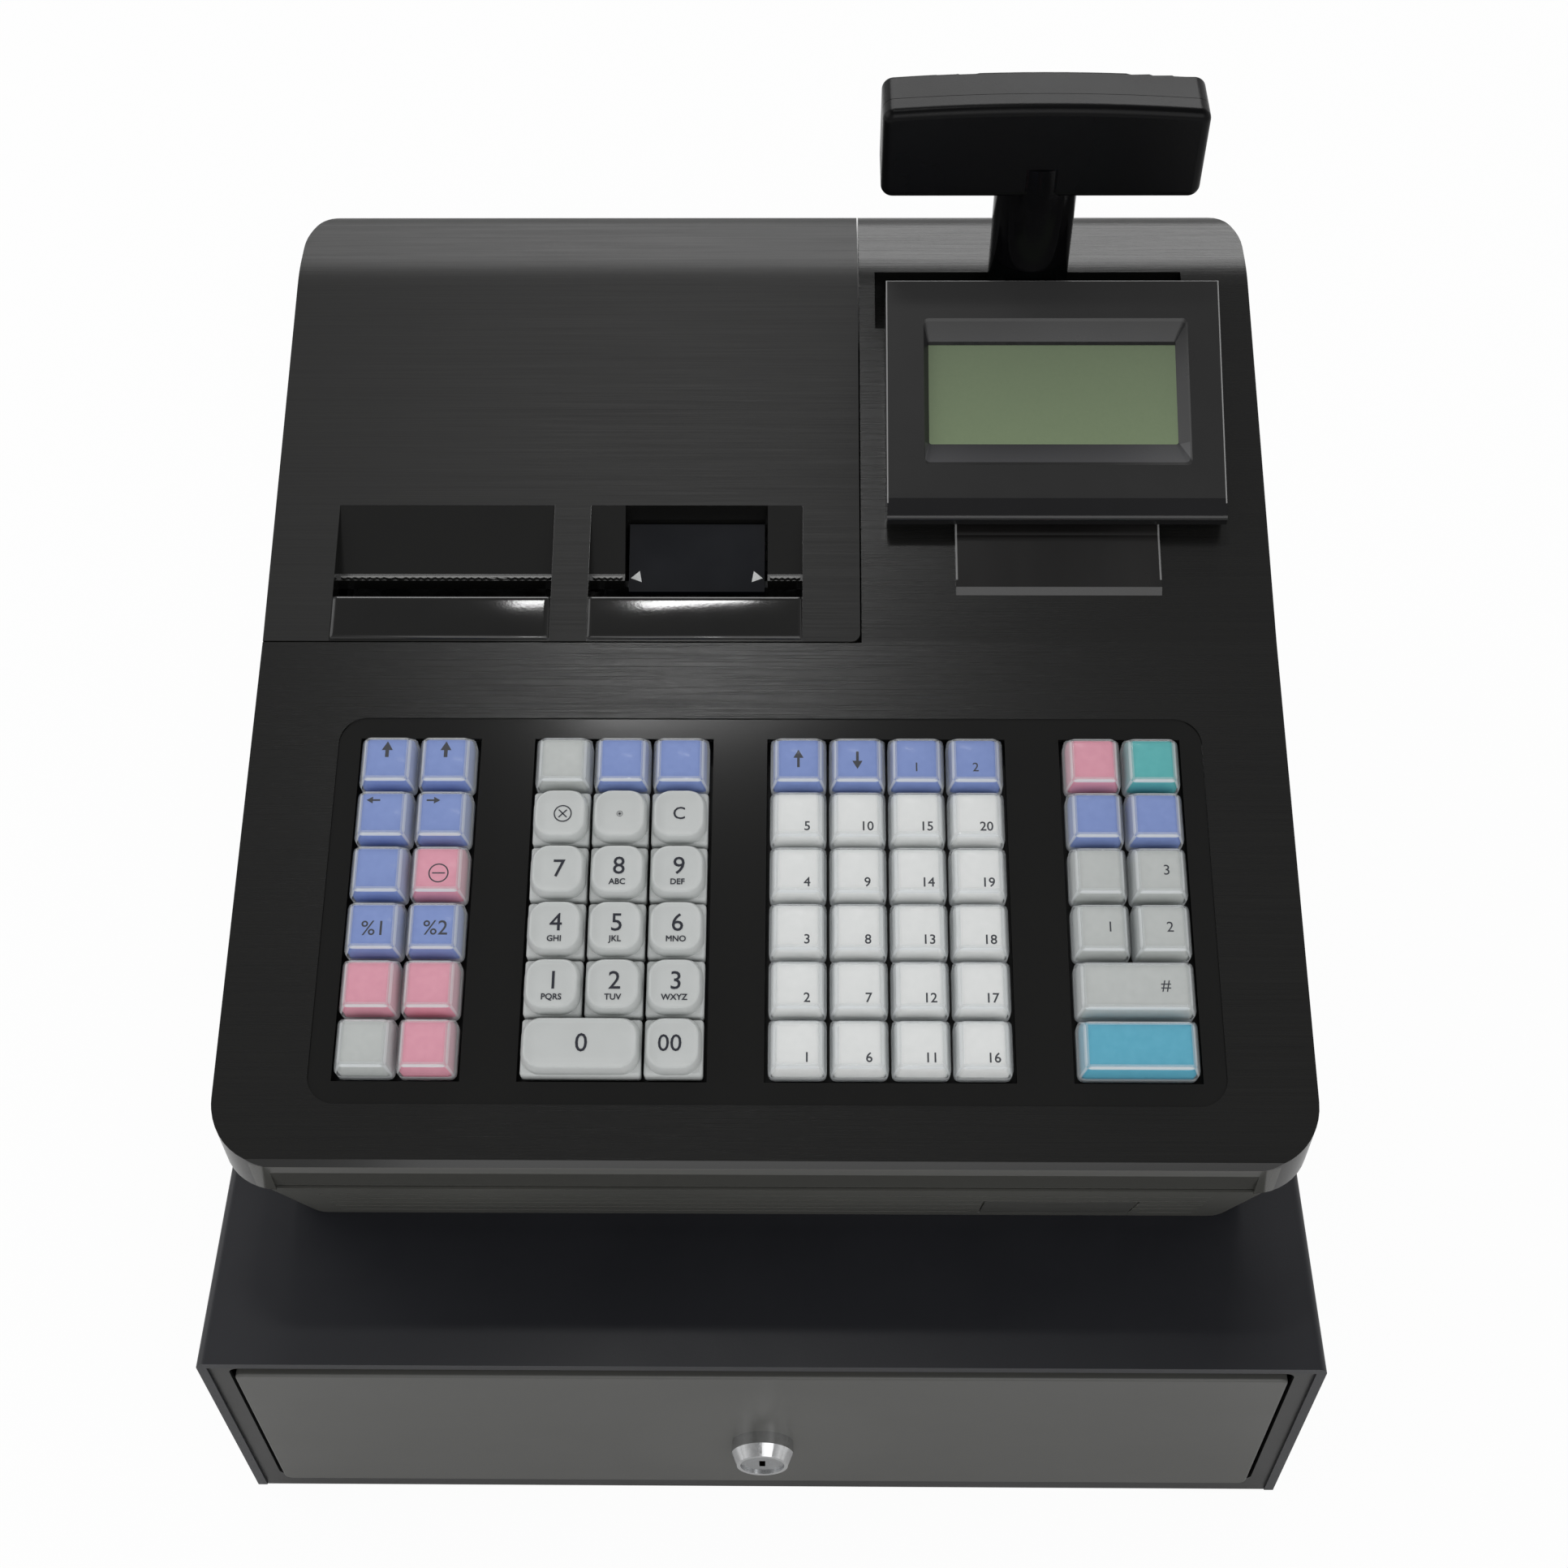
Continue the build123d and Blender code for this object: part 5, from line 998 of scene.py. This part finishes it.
roll_paper = Finish("roll_paper", shine=0.35)
roll_reach = round_the_axis(roll_paper, axis_y=0.0965, axis_z=0.172)
roll_layers = roll_paper.bands(roll_reach * 9000.0)
roll_core = roll_reach < 0.009
roll_spindle = roll_reach < 0.0031
paper_shade = roll_paper.mixed(roll_layers, (222, 221, 214), (244, 243, 238))
with_core = roll_paper.mixed(roll_core, paper_shade, (150, 118, 82))
roll_paper.colour(roll_spindle, with_core, (60, 60, 62))
roll_paper.roughen(roll_layers, 0.2, 0.8, 0.55, 0.75)
roll_paper.emboss(roll_layers, 0.00006, 0.4)
dress(roll_paper, "receipt_roll", "journal_roll")
dress(moulding("spool_black", (24, 24, 26), (34, 34, 36), 0.36), "take_up_spool")

# Gloss black plate behind the cover's window, its two corner marks printed white.
guide_gloss = grained(
    "guide_gloss_black", (7, 9, 14), (13, 16, 24), (0.16, 0.26), 30.0, detail=4.0,
    Coat_Roughness=0.05,
)
dress(guide_gloss, "paper_guide")

guide_foot = Vector((0, 0.0265, 0.2235))
guide_reach = Vector((0, 0.0486, 0.2342)) - guide_foot
guide_lean = math.atan2(guide_reach.z, guide_reach.y)
mark_white = grained("mark_white", (206, 208, 208), (236, 237, 236), (0.4, 0.55), 1500.0, shine=0.4)
window_middle, mark_aside = -0.0233, 0.0203
corner_marks = []
for side in (-1, 1):
    clear_selection()
    bpy.ops.mesh.primitive_circle_add(vertices=3, radius=0.0023, fill_type="NGON")
    mark = bpy.context.object
    pick(mark, lambda centre, normal: True)
    bpy.ops.mesh.extrude_region_move(TRANSFORM_OT_translate={"value": (0, 0, 0.00004)})
    mark_spot = (window_middle + side * mark_aside, 0.0052)
    corner_marks.append(laid(mark, mark_spot, 0.00003, side * math.radians(140)))
guide_marks = gathered("paper_guide_marks", corner_marks)
settle(tilted(guide_marks, guide_foot, guide_lean), "case", mark_white)


# --------------------------------------
# Printer cover: hinged at the back, brushed film like the panel. Each paper
# slot has a glossy wedge behind it and a rolled glossy lip in front.

left_slot = (-0.1453, -0.0718)
right_slot = (-0.0593, 0.0129)
slot_front_y = 0.0012
slot_lip_y = 0.0168
slot_back_y = 0.0497


def slot_zones(film):
    """1 over the glossy parts round the paper slots, 0 elsewhere."""
    x, y, z = film.axes()
    left = (x > left_slot[0] - 0.0001) * (x < left_slot[1] + 0.0001)
    right = (x > right_slot[0] - 0.0001) * (x < right_slot[1] + 0.0001)
    return (left + right) * (y < slot_back_y)


dress(brushed("cover_brushed_film", slot_zones, 0.36, 0.2), "printer_cover")

lip_gloss = grained(
    "slot_lip_gloss", (20, 20, 20), (27, 27, 26), (0.06, 0.09), 40.0, detail=4.0,
    shine=0.55,
)
lip_gloss.emboss(lip_gloss.grain(1100.0), 0.00002, 0.3)

cover_front_z = 0.2264
cover_slope = math.atan2(0.27 - cover_front_z, 0.343 - 0.2047)
cover_start = Vector((0, slot_front_y, cover_front_z))
lip_length = (slot_lip_y - slot_front_y) / math.cos(cover_slope)
for name, (left, right) in (("receipt_slot_lip", left_slot), ("journal_slot_lip", right_slot)):
    lip = slab(name, (left, 0.0006, -0.001), (right, lip_length + 0.0002, 0.0004))
    pick(lip, facing_up)
    bpy.ops.mesh.subdivide(number_cuts=1)
    bpy.ops.mesh.inset(thickness=0.0014, depth=0.0007)
    soften(lip, 0.0012, 4, 12)
    settle(tilted(lip, cover_start, cover_slope), "cover", lip_gloss)

# Cutter edge along the back of each slot: thin, toothed, black-oxided steel.
cutter_steel = grained(
    "cutter_black_steel", (76, 76, 76), (120, 120, 118), (0.25, 0.4), 1.0, (40.0, 1500.0, 1500.0),
    Metallic=0.6,
)
cutter_level = 0.22853
cutter_front, cutter_back = 0.0281, 0.0286
tooth_pitch, tooth_depth = 0.0026, 0.0005
cutter_spans = (
    ("receipt_cutter", left_slot[0] + 0.0008, left_slot[1] - 0.0008),
    ("journal_cutter_left", right_slot[0] + 0.0008, -0.0484),
    ("journal_cutter_right", 0.0018, right_slot[1] - 0.0008),
)
for name, left, right in cutter_spans:
    corners = (left, cutter_front, cutter_level), (right, cutter_back, cutter_level + 0.0004)
    blade = slab(name, *corners)
    pick(blade, lambda first, second: abs((first - second).x) > 0.01, "EDGE")
    bpy.ops.mesh.subdivide(number_cuts=1 + 2 * round((right - left) / tooth_pitch))
    in_object_mode()
    front = [point for point in blade.data.vertices if point.co.y < cutter_front + 0.00005]
    steps = sorted({round(point.co.x, 6) for point in front})
    for point in front:
        if steps.index(round(point.co.x, 6)) % 2:
            point.co.y -= tooth_depth
    settle(blade, "cover", cutter_steel)


# --------------------------------------
# Operator display: a hollow wedge on two pins in a gloss bracket. The frame
# slopes down on all sides to a sunk, grey-green reflective screen.

display_slope = math.radians(25.97)
display_start = Vector((0, 0.0365, 0.248))
screen_left, screen_right = 0.0558, 0.1402
screen_low, screen_high = 0.028, 0.065
frame_middle = 0.0983
frame_half, frame_top = 0.0566, 0.0862
mouth_half, mouth_foot, mouth_top = 0.0455, 0.019, 0.0725
front_lip_top = 0.0078


def display_frame_finish(name):
    """Dark moulding, fine-grained on its flats, with painted light and shade in its sunk mouth and a
    painted highlight along its rims.
    """
    shell = Finish(name)
    flow = shell.grain(16.0, detail=4.0)
    x, _, up_slope, height = on_slope(shell, display_start, display_slope)
    flat = shell.mixed(flow, (36, 36, 36), (43, 43, 43))
    sides = (x - frame_middle).size()
    sunk = (height < -0.0004) * (height > -0.004)
    mouth = sunk * (sides < mouth_half) * (up_slope > mouth_foot)
    # Painted light and shade in the sunk mouth: the top wall darkens towards the top, the lower wall
    # is painted lighter and the side walls darker.
    top_wall_painted_shade = shell.between(up_slope, screen_high, mouth_top, 0.014, 0.002)
    low_wall_painted_light = shell.between(up_slope, 0.0195, screen_low, 0.075, 0.045)
    in_lower = up_slope < screen_low + 0.0002
    in_sides = (sides > 0.0418) * (up_slope > screen_low) * (up_slope < screen_high)
    mouth_painted_shading = low_wall_painted_light * in_lower + top_wall_painted_shade * (1.0 - in_lower)
    mouth_painted_shading = mouth_painted_shading * (1.0 - in_sides) + 0.012 * in_sides
    mouth_painted_grey = shell.node("CombineColor", Red=mouth_painted_shading, Green=mouth_painted_shading, Blue=mouth_painted_shading * 1.06)
    # Painted highlight: a pale line along the frame's outer rims.
    rims = (sides > frame_half).larger(up_slope > frame_top)
    rim_painted_highlight = rims * (height > -0.0007) * (up_slope > 0.006)
    # Painted shade: the bottom of the front lip is painted near black.
    lip_painted_shade = (up_slope < 0.0012).larger(height < -0.0012) * (up_slope < 0.006)
    front_lip = (up_slope < front_lip_top) * (1.0 - mouth)
    flat = shell.mixed(front_lip, flat, shell.mixed(flow, (14, 14, 15), (30, 30, 32)))
    shade = shell.mixed(mouth, flat, mouth_painted_grey)
    shade = shell.mixed(rim_painted_highlight, shade, (150, 150, 150))
    shade = shell.mixed(lip_painted_shade, shade, (9, 9, 10))
    shell.feed("Base Color", shade)
    flat_rough = shell.between(flow, 0.3, 0.7, 0.26, 0.36)
    shell.feed("Roughness", flat_rough * (1.0 - front_lip) + 0.14 * front_lip)
    shell.emboss(shell.grain(1500.0, detail=2.0), 0.00005, 0.4)
    return shell


dress(display_frame_finish("display_bezel_grey"), "display_bezel")
dress(moulding("display_shell_grey", (26, 26, 26), (32, 32, 32), 0.22), "display_shell")

bracket_gloss = Finish("bracket_gloss", shine=0.6)
bracket_flow = bracket_gloss.grain(26.0, (1.0, 0.3, 0.3), detail=4.0)
bracket_x, bracket_y = bracket_gloss.axes()[:2]
bracket_middle, bracket_half, bracket_front = 0.099, 0.0339, 0.022
# Painted highlight: pale bands along the bracket's sides.
bracket_edge_highlight = ((bracket_x - bracket_middle).size() > bracket_half) * (bracket_y > bracket_front)
bracket_shade = bracket_gloss.mixed(bracket_flow, (12, 11, 11), (27, 26, 25))
bracket_gloss.colour(bracket_edge_highlight, bracket_shade, (130, 130, 130))
bracket_gloss.roughen(bracket_flow, 0.3, 0.7, 0.16, 0.28)
dress(bracket_gloss, "display_bracket")

screen_face = Finish("screen_grey_green")
face_v = on_slope(screen_face, display_start, display_slope)[2]
# Painted shade: the screen darkens from its bottom towards its top.
face_painted_shade = screen_face.between(face_v, screen_low, screen_high, 0.0, 1.0)
face_dots = screen_face.grain(900.0, detail=2.0)
face_low = screen_face.mixed(face_dots, (118, 134, 103), (124, 140, 108))
face_high = screen_face.mixed(face_dots, (104, 118, 92), (110, 124, 97))
screen_face.colour(face_painted_shade, face_low, face_high)
screen_face.roughen(face_dots, 0.3, 0.7, 0.34, 0.46)
dress(screen_face, "display_screen")

# Black strip along the top of the screen: a painted shadow under the frame's top edge.
shadow_strip_black = grained("screen_shadow_strip_black", (14, 15, 14), (22, 23, 22), (0.25, 0.35), 300.0)
shadow_strip = slab(
    "screen_shadow_strip",
    (screen_left, screen_high - 0.0011, -0.0031),
    (screen_right, screen_high + 0.0001, -0.0028),
)
pick(shadow_strip, lambda centre, normal: normal.z < -0.9)
bpy.ops.mesh.delete(type="FACE")
tilted(shadow_strip, display_start, display_slope)
settle(shadow_strip, "operator_display", shadow_strip_black)


# --------------------------------------
# Customer display: a plain-backed head in two shells on a tubular stem, which
# slides in a socket under the roof. Its window faces away from the operator.

stem_x, stem_y = 0.0916, 0.1305
neck_reach = 0.0142
neck_top = 0.3288
head_plastic = moulding("head_satin_black", (5, 5, 6), (8, 8, 9), 0.26, 1500.0, shine=0.13)
neck_x, neck_y, neck_z = head_plastic.axes()
neck_zone = (apart(neck_x - stem_x, neck_y - stem_y) < neck_reach) * (neck_z < neck_top)
head_flow = head_plastic.grain(14.0, detail=4.0)
head_rough = head_plastic.between(head_flow, 0.3, 0.7, 0.24, 0.3)
head_plastic.feed("Roughness", head_rough * (1.0 - neck_zone) + 0.1 * neck_zone)
dress(head_plastic, "head_neck_shell", "head_window_shell")
stem_tones = ((3, 4, 4), (6, 7, 7))
dress(moulding("stem_gloss_black", *stem_tones, 0.12, 900.0, 0.00002, shine=0.15), "display_stem")
dress(guide_black, "stem_socket")

window_tint = grained(
    "head_window_smoke", (20, 24, 28), (30, 35, 40), (0.06, 0.12), 20.0, shine=0.6,
)
dress(window_tint, "head_window")


# --------------------------------------
# Stage: a pale floor, soft lamps, and pale surroundings that show in the glossy
# parts. The camera looks down at the keyboard.

clear_selection()
bpy.ops.mesh.primitive_plane_add(size=12, location=(0, 0, -0.0002))
floor = bpy.context.object
floor.name = "floor"
white = (1, 1, 1, 1)
floor_finish = Finish("floor_pale", Base_Color=(0.86, 0.86, 0.86, 1), Roughness=0.9)
floor_lit = Reading(floor_finish.tree, floor_finish.shader.outputs[0])
floor_glow = floor_finish.node("Emission", Color=white)
floor_share = floor_finish.node("LightPath") * 0.96
floor_blend = floor_finish.node("MixShader", at_0=floor_share, at_1=floor_lit, at_2=floor_glow)
floor_finish.show(floor_blend, "Material Output")
floor.data.materials.append(floor_finish.material)

world = bpy.data.worlds.new("studio")
bpy.context.scene.world = world
world.use_nodes = True
sky = Network(world.node_tree)
sky_height = sky.node("SeparateXYZ", output=2, Vector=sky.node("TexCoord"))
sky_level = sky.node("MapRange", Value=sky_height, From_Min=-1.0)
sky_greys = ((0.0, 0.5), (0.48, 0.6), (0.62, 0.75), (0.8, 0.4), (1.0, 0.22))
sky_stops = [(place, (grey, grey, grey, 1)) for place, grey in sky_greys]
sky_shade = sky.node("ValToRGB", {"stops": sky_stops}, Fac=sky_level)
sky_lit = sky.node("Background", Color=sky_shade)
sky_seen = sky.node("Background", Color=white)
sky_blend = sky.node("MixShader", at_0=sky.node("LightPath"), at_1=sky_lit, at_2=sky_seen)
sky.show(sky_blend, "World Output")


def lamp(name, place, aim, width, depth, watts):
    """A soft rectangular lamp turned to face a point."""
    bpy.ops.object.light_add(type="AREA", location=place)
    made = bpy.context.object
    made.name = name
    made.data.shape = "RECTANGLE"
    made.data.size = width
    made.data.size_y = depth
    made.data.energy = watts
    made.rotation_euler = (Vector(aim) - Vector(place)).to_track_quat("-Z", "Y").to_euler()


lamp("ceiling_lamp", (-0.12, 0.385, 2.0), (-0.02, 0.0, 0.22), 0.26, 0.07, 1.6)
lamp("front_soft_lamp", (0.6, -2.2, 1.9), (0, 0, 0.15), 3.0, 2.0, 25.0)
lamp("front_spot_lamp", (-0.08, -2.1, 1.75), (0, 0, 0.15), 0.1, 0.14, 1.3)
lamp("side_soft_lamp", (-2.0, 0.2, 1.3), (0, 0, 0.15), 2.0, 1.6, 11.0)
lamp("rear_window", (0.1, 2.6, 2.2), (0, 0, 0.2), 2.4, 1.0, 30.0)

sight_yaw = math.radians(-1.0084)
sight_drop = math.radians(51.911)
sight_roll = math.radians(-0.6723)
sight_place = Vector((0.01481, -0.48556, 0.77053))
ahead = Vector((
    math.sin(sight_yaw) * math.cos(sight_drop),
    math.cos(sight_yaw) * math.cos(sight_drop),
    -math.sin(sight_drop),
))
level_right = ahead.cross(Vector((0, 0, 1))).normalized()
level_up = level_right.cross(ahead)
right = level_right * math.cos(sight_roll) + level_up * math.sin(sight_roll)
up = level_up * math.cos(sight_roll) - level_right * math.sin(sight_roll)
bpy.ops.object.camera_add(location=sight_place)
camera = bpy.context.object
turned = Matrix((right, up, -ahead)).transposed().to_4x4()
camera.matrix_world = Matrix.Translation(sight_place) @ turned
camera.data.sensor_width = 36.0
camera.data.lens = 50.189
camera.data.clip_start = 0.02
bpy.context.scene.camera = camera
bpy.context.scene.view_settings.view_transform = "Standard"
